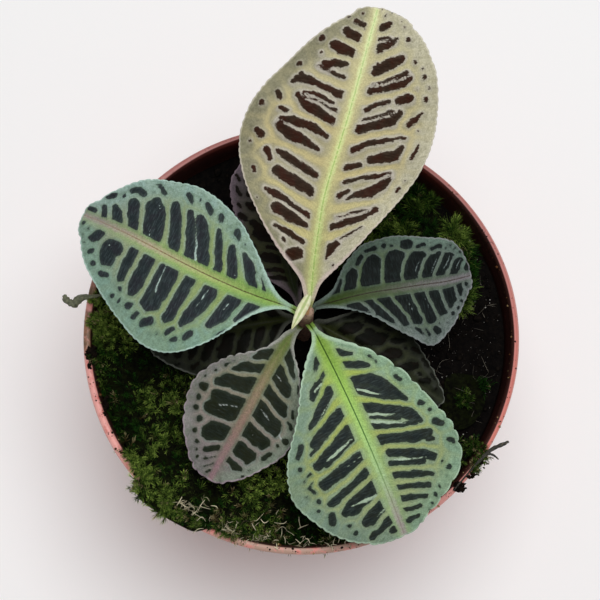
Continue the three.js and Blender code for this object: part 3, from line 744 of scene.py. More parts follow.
# The lowest leaves' colours are painted near black as shade under the leaves above.
paintedShadeLook = {
    "marginWidth": 4.0,
    "net": ("161a09", "1b1f10", "1f231b"), "netAlt": "0f1207", "margin": ("1c2016", "1e2219"),
    "marginAlt": "13160e", "cell": "1a1d10", "cellShare": 0.4,
    "vein": ("2c3112", "2e321a", "2c3022"), "veinWidth": 0.3, "veinShare": 0.8,
    "pale": "30352a", "paleShare": 0.4, "glow": ("262a14", "22261a"), "glowShare": 0.4,
    "fibreShare": 0.5, "midrib": ("2c3114", "2c3120"), "midribWidth": 0.8,
    "midline": ("181b0c", "1c1f14"), "midlineShare": 0.4, "dotted": 0.5, "jag": 0.75,
    "fringe": "12150a", "fringeShare": 0.5, "island": ("0b0c06", "050602"), "islandAlt": "120a05",
    "islandAltShare": 0.6, "islandSheen": "10120a", "streak": "24261c", "streakShare": 0.2,
    "lip": ("5e6058", "6c7068"), "under": ("22261a", "1a1d12"), "underRib": "2a2f1c",
}


leaves = [
    {
        "name": "leaf_back", "slot": "leaf_cream", "seed": 11, "look": creamLook, "cell": 0.42,
        "base": (1.4, 5.3), "tip": (17.3, 75.4), "heights": (121, 134, 146), "root": 115.5,
        "midrib": [0, 0.6, 1.3, 2, 2.5, 1.8, 1, 0.5, 0.2, 0, 0],
        "left": [2, 4.2, 10.9, 17.8, 24.2, 27.6, 25.2, 17.8, 11.4, 5.6, 0],
        "right": [1, 1.8, 5.4, 9.9, 15.2, 20.2, 21.7, 19.5, 15.4, 10, 0],
        "upturn": 0.5, "droop": 0.06, "grow": 0.3, "reachIn": 0.8, "veinHalf": 0.68, "gap": 0.32,
        "clear": (2.8, 2.7), "mirrored": False,
        "scallop": (1.9, 1.9), "scallopDepth": (0.35, 0.35),
        "islands": """
        8.6 6.4 1.3, 9.3 4.6 1.3 / 11.3 8.4 0.4, 12 8.8 0.3 / 12.6 4.4 0.5, 13.8 8.5 0.7, 14.6 11.5 0.35;
        16.8 4 0.5, 17.8 8 1.2, 19 11.6 1.1 / 19.3 4 0.4, 21 8.5 0.55, 22.5 13 0.8, 23.2 15.2 0.4;
        25.2 4.4 0.8, 26.6 8.6 1.3, 28.2 13.6 1 / 29.4 4.4 0.6, 30.8 8.4 0.8, 32.4 13 0.8, 33.2 15 0.4 /
        30.8 16 0.5, 33 17.8 0.7;
        35.6 5.5 0.3, 36.8 9.5 1, 38 13.5 1.2, 39.6 16.6 0.8 /
        39.2 4.6 0.4, 40.6 8.5 0.8, 41 13 0.9, 40.7 16.5 0.7 / 43 15.5 0.5, 43.6 17.8 0.3;
        43.1 4 0.6, 44.4 8 1.1, 45.6 11.5 1, 47.6 14 0.6 / 45.6 4 0.25, 46.8 8 0.35, 47.2 12 0.5 /
        47.3 5.5 0.35, 48.2 9 0.6, 48 12.6 0.6 /
        49.6 4 0.7, 50.6 8.5 0.55, 51.6 12.5 0.8, 51.4 15.2 0.8 / 52.6 14.5 0.5 / 50.4 16 0.5;
        53.8 4.5 0.3, 54.6 8 0.4, 55.2 10.8 0.4 / 55.6 9.2 1.1, 56.6 7 0.9, 56.9 4 0.5 / 58.3 11 0.3;
        59.7 3 0.6, 60.2 6 1.1, 60.9 8.4 0.8; 63.8 3.6 0.8, 64.7 6 0.9; 66.7 2.9 0.5, 67.2 4.4 0.6;
        69.2 3.4 0.3; 68 6.6 0.3; 70 5.3 0.25; 61.7 11.8 0.6; 55 15.6 0.6; 27 19 0.4, 27.9 19.6 0.4;
        34.4 22.6 0.35; 36.3 20 0.7, 37.4 21.6 0.6; 44 22.3 0.6; 45.9 18.3 0.6, 47.2 19 0.6; 20.3 17 0.2;
        11 -2.8 0.7, 12.6 -4 0.9, 14 -5.2 0.6 / 8.3 -4.8 0.25 / 15 -5.8 0.2, 17 -8.4 0.25, 19 -11 0.15;
        18 -4 0.6, 19.6 -7 0.8, 21.4 -10.6 0.6, 24 -13.4 0.7 / 20.3 -5 0.2, 22 -8 0.3, 23.4 -11.5 0.4;
        26 -4.4 0.6, 27 -5.6 0.5 /
        25.4 -5.6 0.4, 26.9 -8.4 0.7, 28.4 -11.5 1.1, 30.5 -13.4 1, 33 -14.9 0.5 /
        29.4 -4.8 0.3, 31.2 -8 0.4, 32.4 -11.6 0.55, 33.8 -14.8 0.4;
        33 -4.2 0.6, 34 -6.6 0.5 / 35.8 -8.6 0.7, 36.9 -11.4 1.1, 38.2 -14.4 1, 40.6 -15.4 0.5 /
        37.6 -4.3 0.5, 39.4 -6.6 0.6, 40.6 -9.6 0.6, 42 -13 0.3, 43 -15.6 0.3;
        42.6 -4.2 0.8, 44.2 -7.4 0.9, 46.2 -10.8 1.1, 48.4 -12.2 0.8 /
        44.9 -4.6 0.3, 46.6 -8 0.4, 48.2 -10.6 0.7 / 47.6 -4.4 0.4, 49.2 -6.4 0.5, 50.4 -9 0.4 /
        51.2 -11.2 0.8, 52.6 -13.8 0.9;
        52.2 -4.4 0.6, 53.8 -8 0.7, 55.4 -11 0.8, 57.2 -12.6 0.6 /
        53.6 -4.6 0.3, 55.6 -8.4 0.5, 57.6 -11.4 0.7;
        57.2 -4 0.9, 59 -6.6 1.1, 61 -9.2 0.8 / 58.6 -3.6 0.3;
        62.4 -3.4 0.7, 64 -5.4 0.9, 65.6 -6.4 0.6 / 64.6 -3.2 0.5, 65 -5 0.7; 67.6 -3 0.7, 68.6 -3.9 0.6;
        70.2 -2.6 0.4; 71 -1 0.3; 46.4 -15.4 0.6, 48 -16.8 0.6, 50.2 -18 0.3; 53.4 -18 0.5;
        29.6 -17.5 0.3, 31 -17.9 0.3; 33 -18.6 0.2; 38.2 -18.5 0.4, 40.4 -19.2 0.4, 42.4 -19.4 0.2;
        58.2 -16 0.45; 61 -12.8 0.4; 66 -9.5 0.45; 56.2 -18 0.25; 60 -15 0.25; 66.8 -5.6 0.25;
        68.6 -7.8 0.3; 69.6 -6.8 0.2; 45.8 -18.2 0.2; 55 -15 0.2
        """,
        "streaks": "",
    },
    {
        "name": "leaf_left", "slot": "leaf_green", "seed": 23, "look": mintLook, "cell": 0.42,
        "base": (-4.5, 4.4), "tip": (-59.5, 29.3), "heights": (113, 120, 112), "root": 109.5,
        "midrib": [0, 0.6, 1.4, 2.1, 2.4, 2.2, 1.5, 0.7, 0.3, 0.1, 0],
        "left": [1.1, 2.9, 7.4, 17.5, 24.7, 25.9, 22.2, 16.5, 11.6, 5.8, 0],
        "right": [0.8, 1.2, 3.7, 8.8, 14.7, 18.2, 18.4, 15.2, 10.2, 5, 0],
        "upturn": 0.5, "droop": 0.1, "grow": 0.36, "reachIn": 0.5, "veinHalf": 0.66, "gap": -1,
        "clear": (2.7, 1.7), "mirrored": False,
        "scallop": (1.9, 2.1), "scallopDepth": (0.35, 0.35),
        "islands": """
        8.2 3.6 1.1, 9.4 6.6 0.9, 10.3 8.6 0.5; 13.4 4.2 1.6, 14.4 8.4 1.7, 16 12 0.9;
        19.8 4.6 1.7, 20.6 8.4 1.7, 21.8 12 1.4, 22.9 14.6 0.7; 25.8 4.2 1.1, 26.3 9 1.2, 26.8 14.8 1.2;
        31 4.4 1.6, 31 9 1.5, 31.6 13 1.3, 33.4 14.8 0.9 / 33.6 4.4 0.8, 33.9 9 0.8, 34 14 1;
        37.8 4.6 1.6, 38.2 9 1.7, 38.6 12.6 1.4; 42.4 4.4 1.1, 42.7 8 1.2, 42.7 11 1;
        47.8 5 1.6, 49.6 5 1.4, 48.4 8 2, 50.2 7.4 1; 53.2 3.6 0.9, 54.8 4.6 1.3; 56.5 3.3 0.7;
        58.6 2.4 0.5; 11.4 12.4 0.4, 12.6 14.2 0.45; 19.5 16.2 0.7, 20.6 17.8 0.65;
        22.8 19 0.75, 23.3 19.4 0.55; 24.7 16.8 0.65, 25.4 18.8 0.55; 26.4 20.6 0.6; 26.8 21.4 0.45;
        27.8 19.6 0.65; 28.8 20 0.5; 30.8 17.4 0.9, 32.6 18.8 0.8; 34.8 17 0.65, 35 18.6 0.65;
        37 16.3 0.7, 38.2 16.7 0.75; 40.2 16.5 0.65; 41.2 13.6 0.65; 42.6 16.2 0.55;
        46.4 12.2 0.55, 48.4 12.4 0.6; 51.2 11 0.6; 52.8 8 0.6, 54 8.8 0.5; 55.6 8.4 0.3; 56 7 0.4;
        57.4 5 0.3;
        10.4 -2.4 0.7, 12.2 -4.6 1.1, 13.8 -7 1, 15.6 -9 0.6; 7.4 -2.2 0.25, 9.4 -4.6 0.25;
        13.4 -9 0.25, 17 -11.2 0.3; 18 -11.6 0.4, 20.4 -13.6 0.7; 16.6 -3 1.1, 17.9 -6 1.1, 19.2 -8.8 0.8;
        20.6 -3 0.9, 22 -6.4 0.9, 23.4 -9.6 0.8, 24.6 -12 0.5;
        24.8 -3.2 1.4, 26.6 -6.6 1.4, 28.4 -10 1.4, 30.2 -12.6 1 /
        28.8 -3 1.3, 30.3 -6.4 1, 31.8 -9.8 1, 33.4 -13 0.6;
        33.2 -3 1.3, 34.8 -6.6 1.3, 36.4 -10.2 1.3, 37.9 -13 0.9;
        38.8 -3 1.2, 40 -6.4 1.6, 41.6 -9.6 1.8, 42.8 -11.4 1 / 41.6 -3 1.2, 42.6 -6 1.4, 43.6 -9.6 1.2;
        45.4 -2.4 1.2, 46.8 -5 1.5, 48.2 -8 1.4; 50 -2 0.9, 51.4 -3.4 1.3, 52.6 -5 0.8;
        54.4 -2 0.8, 55.6 -3.6 0.8; 57.6 -2.2 0.6, 59.2 -2 0.5; 22.4 -14 0.7; 23.2 -14.6 0.6;
        24.4 -14.6 0.8, 26 -15.8 0.7; 28.2 -15.6 0.8, 30.4 -17 0.65; 32.6 -17 0.7;
        34 -16 0.7, 36 -17.2 0.6; 39.8 -15.8 0.8; 40.6 -16.4 0.7; 41.6 -14.8 0.6, 44.4 -15.4 0.8;
        47 -11.8 0.8, 48.6 -12.2 0.8, 50.2 -11.2 0.8; 52 -9 0.5; 54.2 -8 0.7, 56 -7.2 0.6; 44.8 -14 0.6
        """,
        "streaks": """
        13.7 4.9 0.06, 14.1 6 0.12, 14.5 6.9 0.04; 20.1 2.8 0.06, 20.6 6 0.13, 21.1 8.8 0.05;
        33 3 0.04, 32.9 6.9 0.1, 32.6 9.6 0.18, 32.5 10.4 0.04; 26.6 -2 0.3, 28 -5.4 0.28, 29.6 -8.7 0.05;
        41.3 -4.4 0.03, 40.4 -2.2 0.12; 41.2 -10 0.14; 41.6 -10.8 0.1; 49.2 4.8 0.16; 15.4 -2.6 0.15""",
    },
    {
        "name": "leaf_front", "slot": "leaf_green", "seed": 37, "look": limeLook, "cell": 0.42,
        "base": (2.8, -1.9), "tip": (26.7, -55.6), "heights": (110, 117, 105), "root": 106.5,
        "midrib": straight,
        "left": [1, 2.6, 6.7, 12, 16.7, 20.5, 23.5, 22, 14.6, 6.6, 0],
        "right": [1, 2.4, 6.2, 10.3, 14.9, 21.3, 23.7, 20.2, 15.6, 9.4, 0],
        "upturn": 0.45, "droop": 0.12, "grow": 0.3, "reachIn": 0.5, "veinHalf": 0.68, "gap": -1,
        "clear": (2.6, 2.9), "mirrored": False,
        "scallop": (4.6, 2.4), "scallopDepth": (0.8, 0.5),
        "islands": """
        8.4 2.9 0.8, 9.4 4.4 0.7, 10 5.8 0.4; 12.3 3.4 0.7, 13.6 6.2 0.8, 14.6 8.4 0.6;
        12.6 9.4 0.3, 14.8 10.6 0.3;
        17.2 3.8 0.9, 18.4 7 1.5, 20.4 9.2 1.5, 23 10.8 1.4, 26.4 13.6 0.65 /
        19.6 3.6 0.9, 21.4 6.2 1.1, 23.6 9 1.1, 25.6 11.6 0.5;
        24.6 3.2 0.9, 26.4 6.6 1.1, 28 9.8 1.2, 30.4 13 1.3, 33 15 0.7 /
        27.6 3.6 0.35, 29 6.6 0.4, 30.4 10 0.6 / 30 3.4 0.6, 31.4 6.6 0.6, 32.6 10 0.7, 33.2 13.4 0.7;
        33.8 3.8 1, 35 8 1.3, 36.2 12 1.4, 37 16 0.8 / 38.2 15 0.55, 38.8 16.6 0.45;
        37.8 4.8 0.9, 39.4 8.4 1, 41.2 12 1.1, 43.2 15 0.8 / 40.4 3.6 0.5, 41.7 7.6 0.6, 43 11.6 0.7;
        43.9 3.6 0.8, 45.3 8 0.9, 46.6 11.6 0.7, 47.4 13.6 0.55; 46.6 3.2 0.8, 47.9 7.2 0.8, 49 10.6 0.8;
        49.8 3.2 0.8, 50.6 6.2 0.9, 51.2 8.8 0.7; 52.8 3.2 0.8, 53 6.6 0.7; 55 3 0.9, 55.2 5 0.6;
        20.3 13.7 0.55, 21.6 14.3 0.45; 28.9 16.9 0.65, 29.6 17.8 0.55; 31.4 18.6 0.55;
        34.8 18.8 0.8, 36 20.2 0.65; 40.4 20.6 0.55, 41.4 21.6 0.55; 44.8 16.4 0.55; 47 17.6 0.7;
        47.6 14.8 0.55; 49.2 16 0.45; 50.6 13.4 0.5; 52.2 11.4 0.6; 53.6 10 0.4; 50 15 0.45;
        8.2 -3 0.6, 10.2 -4.2 0.8, 11.8 -5.2 0.4; 11.6 -3.2 0.6, 13.6 -5.4 0.7, 15.6 -7.6 0.9, 17 -8.8 0.6;
        17 -3.8 0.8, 19.4 -6.4 1, 21.6 -9.2 1, 23.6 -12 0.6;
        23.6 -4.2 1.1, 25.2 -7.4 1.4, 26.6 -10.6 1.4, 28 -13 1 / 28 -9 0.4, 30 -14.6 0.45;
        28.4 -3.8 1.1, 30 -7.2 1.3, 31.8 -11 1.3, 33.2 -14.2 1 / 30.6 -4 0.7, 32.2 -7.6 0.7, 33.6 -12 0.8;
        35.6 -3.8 1, 36.6 -7.4 1.2, 37.6 -11 1.2, 38.4 -15 1;
        40 -3.6 0.8, 41.4 -7.4 0.9, 42.6 -11 0.9, 43.6 -15 0.75;
        43.2 -3.2 1, 44.6 -6.8 1.2, 46 -10.6 1.3, 47.2 -12.4 0.8 /
        45.6 -3.6 0.8, 46.8 -7.4 0.9, 47.6 -10.6 0.9;
        48.8 -3.4 1.1, 50 -6 1.3, 51.6 -8.4 0.9 / 50.8 -3.4 0.4, 52.2 -6.6 0.8;
        53.4 -3 0.9, 54.4 -5.4 0.8, 55.6 -8 0.8 / 56 -2.4 0.8; 57 -6 0.3; 27.2 -16.4 0.65, 29.4 -18.2 0.55;
        32.4 -18.8 0.45; 34.6 -17 0.45, 35.4 -18.8 0.45; 36.4 -17.6 0.45, 37.8 -18.8 0.55, 39 -17.4 0.45;
        41.6 -17.4 0.5; 46.4 -15.8 0.75, 48 -16.4 0.7; 50.6 -12.6 0.5; 52.8 -12 0.6; 39 -19.8 0.4;
        43.8 -18.6 0.4
        """,
        "streaks": """
        19.4 3.2 0.24, 20.6 4.8 0.34, 22.2 6.8 0.2, 23.3 8.4 0.04; 26.4 3 0.3, 27.8 6 0.3, 29.2 9.7 0.05;
        28.6 2.9 0.34, 30.4 6.8 0.3, 32.6 11.6 0.05; 39.6 3.8 0.12, 40.6 6.4 0.3, 41.2 8.6 0.12, 42.6 13 0.1;
        30.6 -3.7 0.16, 31.8 -7 0.34, 33 -11.1 0.26, 33.2 -11.8 0.1;
        46.2 -3.2 0.3, 46.4 -6.4 0.4, 46 -10.8 0.06;
        19.4 -4.4 0.04, 21 -7 0.13, 22.7 -9.1 0.04; 35.7 -3.2 0.12, 36.6 -7.5 0.05;
        50.3 -2.6 0.18, 51.3 -5 0.05;
        14.4 -5 0.3, 15.4 -7.2 0.26""",
    },
    {
        "name": "leaf_right", "slot": "leaf_green", "seed": 41, "look": sagePaintedShadeLook, "cell": 0.42,
        "base": (3.2, 5.6), "tip": (46, 15.1), "heights": (107, 110, 104), "root": 103.5,
        "midrib": [0, 0, 0, 0.1, 0, -0.4, -0.6, -0.8, -0.5, -0.2, 0],
        "left": [1, 1.6, 3.2, 8.9, 13.1, 14.6, 13.8, 12.4, 10.9, 8.2, 0],
        "right": [1, 1.3, 2.2, 4.2, 7.6, 13.2, 17.1, 13.2, 8, 4, 0],
        "upturn": 0.4, "droop": 0.12, "grow": 0.9, "reachIn": 0.6, "veinHalf": 0.45, "gap": -1,
        "clear": (1.7, 2.1), "mirrored": False,
        "scallop": (2, 2), "scallopDepth": (0.4, 0.4),
        "islands": """
        6 2.4 0.5, 7.6 4 0.6; 9.6 2.6 0.9, 10.8 5 0.9, 11.6 6.8 0.5;
        15.6 3.2 1.6, 16.6 6 1.8, 17.4 8.2 1.4; 12.6 7.8 0.3, 14.6 9.8 0.4; 16.2 10.8 0.4, 18.8 12 0.4;
        21.4 12.3 0.4;
        21.8 3.2 1.5, 22.4 6 1.8, 23.8 8.6 1.4, 25.4 9.4 0.6; 23.8 12 0.5; 24.8 12.2 0.4;
        26.6 11.6 0.7, 28.6 11.9 0.7; 26.8 3.2 1.4, 28 5.4 1.5, 29.6 7.4 1.2, 31.4 8.2 0.6;
        30.4 10.8 0.3, 32.6 11.4 0.35; 31.2 2.8 1, 32.8 4.8 1.3, 34.4 6.4 1, 35.8 7.6 0.6;
        34.4 9.6 0.35, 36.8 9.9 0.35; 35 3 0.8, 36.8 4.6 1.1, 38.4 6.4 0.8, 39.6 6.8 0.4; 38.6 9.2 0.4;
        39.6 9.4 0.4; 38.8 2.6 0.7, 40.4 4 0.9, 41.6 4.8 0.5; 41 8.2 0.4; 41.8 7.4 0.4; 43 2.6 0.7;
        9.6 -2.4 0.6, 11.4 -3.2 0.8, 13.6 -5 0.7; 13.4 -2.8 0.7, 15.4 -4.8 1.1, 17.6 -7 1, 20.2 -9.2 0.6;
        18 -3.2 1, 19.8 -5.8 1.2, 21.6 -8.4 1.1, 22.8 -9.6 0.5; 23.4 -3.2 1.3, 24.4 -6 1.3, 25.4 -8.8 1.1;
        28 -3.2 1.3, 28.8 -6 1.3, 29.6 -8.8 1.1; 31.8 -3 1.1, 32.2 -5.6 1.2, 32.8 -8 1;
        36 -2.6 1.5, 36 -5 1.3, 35.8 -6.2 0.8; 39 -1.8 0.8, 39.2 -3.8 0.7; 41.4 -2 0.4;
        24.8 -11.2 0.3, 26.6 -13 0.3; 27.4 -12.2 0.3, 28.4 -13.4 0.3; 30.6 -12.6 0.7; 31.6 -11 0.3;
        33.2 -9.8 0.4; 33.8 -10.8 0.3; 35.6 -8.8 0.4; 37.4 -7.6 0.4; 39.2 -6.2 0.3; 40.4 -4.8 0.3;
        15.4 -7.4 0.25, 19.6 -10.4 0.25
        """,
        "streaks": """
        36 3 0.05, 37.4 4.8 0.1, 38.8 6.6 0.04; 39.6 2.6 0.05, 40.8 4 0.1, 41.8 5.2 0.04;
        27.8 3 0.04, 28.8 5 0.08, 30.2 6.8 0.03; 32.4 3 0.04, 33.8 5 0.09, 35.2 6.6 0.03;
        24 -3.4 0.05, 24.8 -6.4 0.07; 29 -4 0.05, 29.6 -7 0.06""",
    },
    {
        "name": "leaf_front_left", "slot": "leaf_green", "seed": 53, "look": roseLook, "cell": 0.42,
        "base": (-2.1, -0.8), "tip": (-25.1, -40.8), "heights": (106, 109, 101), "root": 102,
        "midrib": [0, -0.2, -0.4, -0.5, -0.5, -0.2, 0, 0, 0, 0, 0],
        "left": [1, 1.2, 2.5, 6.8, 10.5, 13.5, 14.4, 11, 7.8, 4, 0],
        "right": [1, 2.2, 3.1, 5.8, 12.4, 16.5, 16.6, 13.6, 9.8, 6.4, 0],
        "upturn": 0.4, "droop": 0.12, "grow": 0.65, "reachIn": 0.5, "veinHalf": 0.58, "gap": -1,
        "clear": (1.7, 1.6), "mirrored": False,
        "scallop": (2.6, 3.2), "scallopDepth": (0.5, 0.7),
        "islands": """
        7 2.4 0.6, 9 3.4 0.8, 11 5 0.7, 12.4 6.6 0.4;
        12.4 3 0.9, 14 4.4 1.3, 16 6 1.3, 16.8 7 0.7 / 14.6 2.6 0.5, 16 4 0.8;
        18.6 2.8 1.2, 19.8 5.2 1.2, 20.8 7.6 1.2, 21.6 9 0.6;
        22.8 2.6 0.9, 24 5.6 0.9, 25.2 8.4 1 / 25 2.6 1, 26.2 5.4 1.2, 26.6 8.6 1.1;
        29.6 2.8 1.2, 30.2 5.4 1.6, 30.8 7.8 1.3 / 31.4 3 0.9, 31.6 6 1;
        34.8 3.2 1.3, 36.6 3.2 1.3, 35.6 5.6 1.8, 36.8 6.6 1; 39 2.2 0.8, 39.4 4.4 0.9, 39.4 5.8 0.5;
        41.6 2.2 0.5; 42.4 2.4 0.4; 43.2 2.2 0.35; 13.6 9 0.25, 15.2 10 0.25; 20 10.6 0.3, 21.4 11.6 0.3;
        22.8 10.6 0.25, 24 12.4 0.3; 27.8 12.6 0.6; 29.4 11.4 0.4; 32.4 10.4 0.5, 34 9.8 0.5;
        37.8 8.2 0.5, 38.8 7.6 0.35; 41 7.4 0.25;
        9.8 -2 0.8, 11.4 -3.8 0.9, 12.6 -5 0.5; 14.4 -2.4 0.9, 15.6 -4.8 1, 16.8 -7 0.9, 17.6 -8.6 0.5;
        19.2 -2.8 1.2, 20.2 -5.6 1.4, 21.4 -8 1.4, 22.8 -10.4 0.8 / 21.6 -3.4 0.8, 22.4 -6 0.8;
        24.8 -3 1.1, 25.4 -6 1.3, 26.2 -9 1.2 / 28 -3.2 1, 28.8 -6 1.4, 29.4 -9 1.3 /
        29.8 -4 0.9, 30.2 -7 0.9; 32.8 -3 1.2, 33.8 -5.2 1.7, 35.6 -6.4 1.5 / 34.8 -3 1.2, 36.2 -4.8 1.2;
        37.4 -2 0.7, 38.6 -3.4 1, 39.6 -4.6 0.6; 40.4 -2 0.4, 42.2 -3.8 0.4; 42 -1.6 0.4, 43.6 -3 0.4;
        43.8 -1.2 0.3, 44.8 -2 0.3; 16 -9 0.25, 18 -10.8 0.3; 23.2 -14.2 0.3; 25.6 -13.4 0.8;
        28.8 -13.4 0.5; 31.4 -12.6 0.5; 33.6 -10.2 0.5; 36.8 -9.6 0.5; 39 -7.6 0.5; 40.6 -7 0.4;
        42.4 -5.6 0.35; 20.6 -12.6 0.25
        """,
        "streaks": """
        23.8 3 0.04, 24.6 5 0.14, 25.3 6.8 0.04; 26.2 -3 0.14, 26.8 -4.8 0.1, 27.7 -6.8 0.24, 27.9 -7.6 0.05;
        29.2 -6.8 0.14; 13.7 2.4 0.04, 14.2 3.4 0.12, 14.7 4.6 0.04; 29.6 3.4 0.14; 30.4 4.4 0.12;
        27 10.6 0.3, 27.6 11.4 0.2""",
    },
    {
        "name": "leaf_low_back", "slot": "leaf_old", "seed": 61, "look": plumPaintedShadeLook, "cell": 0.7,
        "base": (-1.4, 7.8), "tip": (-14.5, 49), "heights": (102, 104, 99), "root": 98,
        "midrib": straight,
        "left": [1, 1.6, 4, 8, 9.8, 9.9, 9.5, 8.8, 7.2, 4.4, 0],
        "right": [1, 1.8, 4.6, 8.6, 12, 13.6, 12.8, 9.8, 6.8, 3.8, 0],
        "upturn": 0.35, "droop": 0.12, "grow": 0.3, "reachIn": 0.3, "veinHalf": 0.4, "gap": -1,
        "clear": (1.2, 1.2), "mirrored": True,
        "scallop": (2.4, 2.4), "scallopDepth": (0.5, 0.5),
        "islands": """
        2.8 2.2 0.7, 4.2 4.4 0.9; 6.6 1.6 0.4, 7.4 3.2 0.6, 7.9 5.4 0.4;
        9 1.8 0.5, 9.7 3.6 0.5, 10.4 5.6 0.4;
        12.2 1.6 0.8, 13 3.4 1.2, 14 5 1, 14.4 6 0.5; 15.4 1.4 0.4, 16.4 3.6 0.4;
        18.4 1.6 1.1, 19.6 3.8 1.2, 21 5.4 0.9 / 21.6 3.6 1, 24.4 5.4 0.7; 22.2 1.4 0.6, 24.4 2.4 0.9;
        26 7 0.6, 27.4 7.9 0.7; 27.4 1.8 0.8, 28.8 4 1.1, 30 5.2 0.6; 29.6 7 0.25, 31.2 7.7 0.35;
        31.4 1.6 0.7, 32.8 3.6 0.9; 33.4 6 0.4, 34.8 6.5 0.5, 36.2 6.5 0.25; 35.4 1.4 0.5, 36.6 3.2 0.7;
        37.8 5.2 0.3, 39.4 5.4 0.35; 39 1.4 0.5, 39.8 2.6 0.3; 7.4 7 0.25; 17.6 7.2 0.5, 19 7.9 0.3;
        22.4 7.7 0.25, 23.6 8 0.3
        """,
        "streaks": "",
    },
    {
        "name": "leaf_low_right", "slot": "leaf_old", "seed": 71, "look": paintedShadeLook, "cell": 0.7,
        "base": (3.6, 2.7), "tip": (38.9, -18.9), "heights": (99, 100, 96), "root": 94.5,
        "midrib": straight,
        "left": [1, 2, 5, 9.4, 12, 12.4, 9.8, 6.8, 4, 2.2, 0],
        "right": [1, 2, 5, 9, 12, 13, 11.6, 8.6, 6, 3.2, 0],
        "upturn": 0.35, "droop": 0.12, "grow": 0.3, "reachIn": 0.3, "veinHalf": 0.32, "gap": -1,
        "clear": (0.8, 0.8), "mirrored": True,
        "scallop": (3, 3), "scallopDepth": (0.9, 0.9),
        "islands": """
        1.6 1.2 0.7, 3 2.6 1, 4.6 3.6 0.6; 5.8 5.4 0.5, 7.4 6.4 0.6, 9 7 0.4;
        7.4 1.2 0.6, 8.6 2.8 1.3, 10.4 4.6 1.1, 11.2 5.4 0.5; 11.4 7.3 0.4, 13.4 8 0.6, 15.6 8.2 0.4;
        13 2 0.9, 15 3.2 1.6, 17.2 5 1.5, 18.2 6.6 0.7 / 14 5 0.8, 12.8 4.4 0.3; 17.4 8 0.3, 18.8 8.6 0.3;
        20.8 1.6 0.7, 22 3 1.3, 23.8 4.2 1; 20.2 6.2 0.4, 21.6 7.2 0.7, 23.4 8.4 0.4; 24.6 6.6 0.4;
        27 1.4 0.6, 28.4 3 1, 29.6 4.2 0.7; 26.4 7.4 0.4, 27.8 7.9 0.5, 29 8 0.3; 30.6 6.6 0.4, 32.2 6.2 0.6;
        31.6 2.4 0.5; 33 1.2 0.5, 34.2 2.4 0.7; 35 4.2 0.4, 36 3.8 0.3; 37.4 1.6 0.4
        """,
        "streaks": "",
    },
    {
        "name": "leaf_low_left", "slot": "leaf_old", "seed": 83, "look": paintedShadeLook, "cell": 0.7,
        "base": (-3, 3.7), "tip": (-41.8, -4.6), "heights": (99, 101, 96), "root": 93,
        "midrib": straight,
        "left": [1, 2, 5, 8.8, 11.8, 12.8, 11.8, 8.4, 5.6, 2.8, 0],
        "right": [1, 2, 5, 8.8, 11.8, 12.6, 11.2, 8.2, 5.4, 2.8, 0],
        "upturn": 0.35, "droop": 0.12, "grow": 0.3, "reachIn": 0.3, "veinHalf": 0.36, "gap": -1,
        "clear": (1.1, 1.1), "mirrored": True,
        "scallop": (2.5, 2.5), "scallopDepth": (0.5, 0.5),
        "islands": """
        4.2 1.8 0.8, 5.4 3.6 1.2, 6.6 5.4 0.7; 9 1.8 0.6, 10.2 4 0.9, 11 6 0.7;
        12.8 1.8 0.8, 14.2 4 1.2, 15.6 6.4 1; 17.8 1.8 0.9, 19 4.2 1.4, 20.8 6.4 1.1 / 21.6 4.6 0.6;
        22.4 1.8 0.7, 24 4 1, 25.6 6.2 0.8; 27 1.8 0.6, 28.4 3.8 0.9, 29.4 5.2 0.5; 27.6 7.2 0.4, 29.4 8 0.5;
        31.2 1.6 0.6, 32.4 3.6 0.8; 32.6 6 0.3, 33.8 6.2 0.4; 35 1.4 0.5, 35.8 2.8 0.4; 8.4 7 0.3;
        13 8 0.3, 14.4 8.8 0.3; 18.4 9.4 0.4; 22 9 0.3, 23.6 9.6 0.3; 26 9 0.25; 30.6 9.2 0.25
        """,
        "streaks": "",
    },
]

for leaf in leaves:
    leafPiece(leaf)
print("leaves made")


pot = {
    "height": 95, "rimRadius": 60.3, "rimWidth": 2.3, "collarHeight": 14, "collarFlare": 1.2,
    "shoulder": 2.5,
    "wall": 1.5, "baseRadius": 43, "footWidth": 3.5, "padRadius": 13, "recess": 2.5,
    "drainRadius": 4, "drainCircle": 27, "drainCount": 8, "segments": 256,
    "drillFoot": -4, "drillTop": 8, "drillSegments": 40,
}
collarFoot = pot["height"] - pot["collarHeight"]
bodyTop = pot["rimRadius"] - pot["collarFlare"] - pot["shoulder"]


def bodyRadius(z):
    return lerp(pot["baseRadius"], bodyTop, z / collarFoot)


def innerRadius(z):
    share = (z - collarFoot) / pot["collarHeight"]
    collar = pot["rimRadius"] - pot["rimWidth"] - pot["collarFlare"] * (1 - share)
    return np.where(z < collarFoot, bodyRadius(z) - pot["wall"], collar)


# A closed surface of revolution from (radius, z) pairs that run from the axis back to the axis.
def turned(profile, segments):
    angle = np.arange(segments) / segments * 2 * math.pi
    ring = np.array(profile[1:-1], float)
    x, y = ring[:, :1] * np.cos(angle), ring[:, :1] * np.sin(angle)
    z = np.repeat(ring[:, 1:], segments, 1)
    points = np.concatenate([np.stack([x, y, z], -1).reshape(-1, 3),
                             [[0, 0, profile[0][1]], [0, 0, profile[-1][1]]]])
    return points, tubeFaces(len(ring), segments)


def rounded(profile, step):
    dense = []
    for (r0, z0), (r1, z1) in zip(profile[:-1], profile[1:]):
        count = max(int(math.hypot(r1 - r0, z1 - z0) / step), 1)
        dense += [(lerp(r0, r1, k / count), lerp(z0, z1, k / count)) for k in range(count)]
    return dense + [profile[-1]]


def arc(centre, radius, start, end, count):
    angles = np.radians(np.linspace(start, end, count))
    return [(centre[0] + radius * math.cos(a), centre[1] + radius * math.sin(a)) for a in angles]


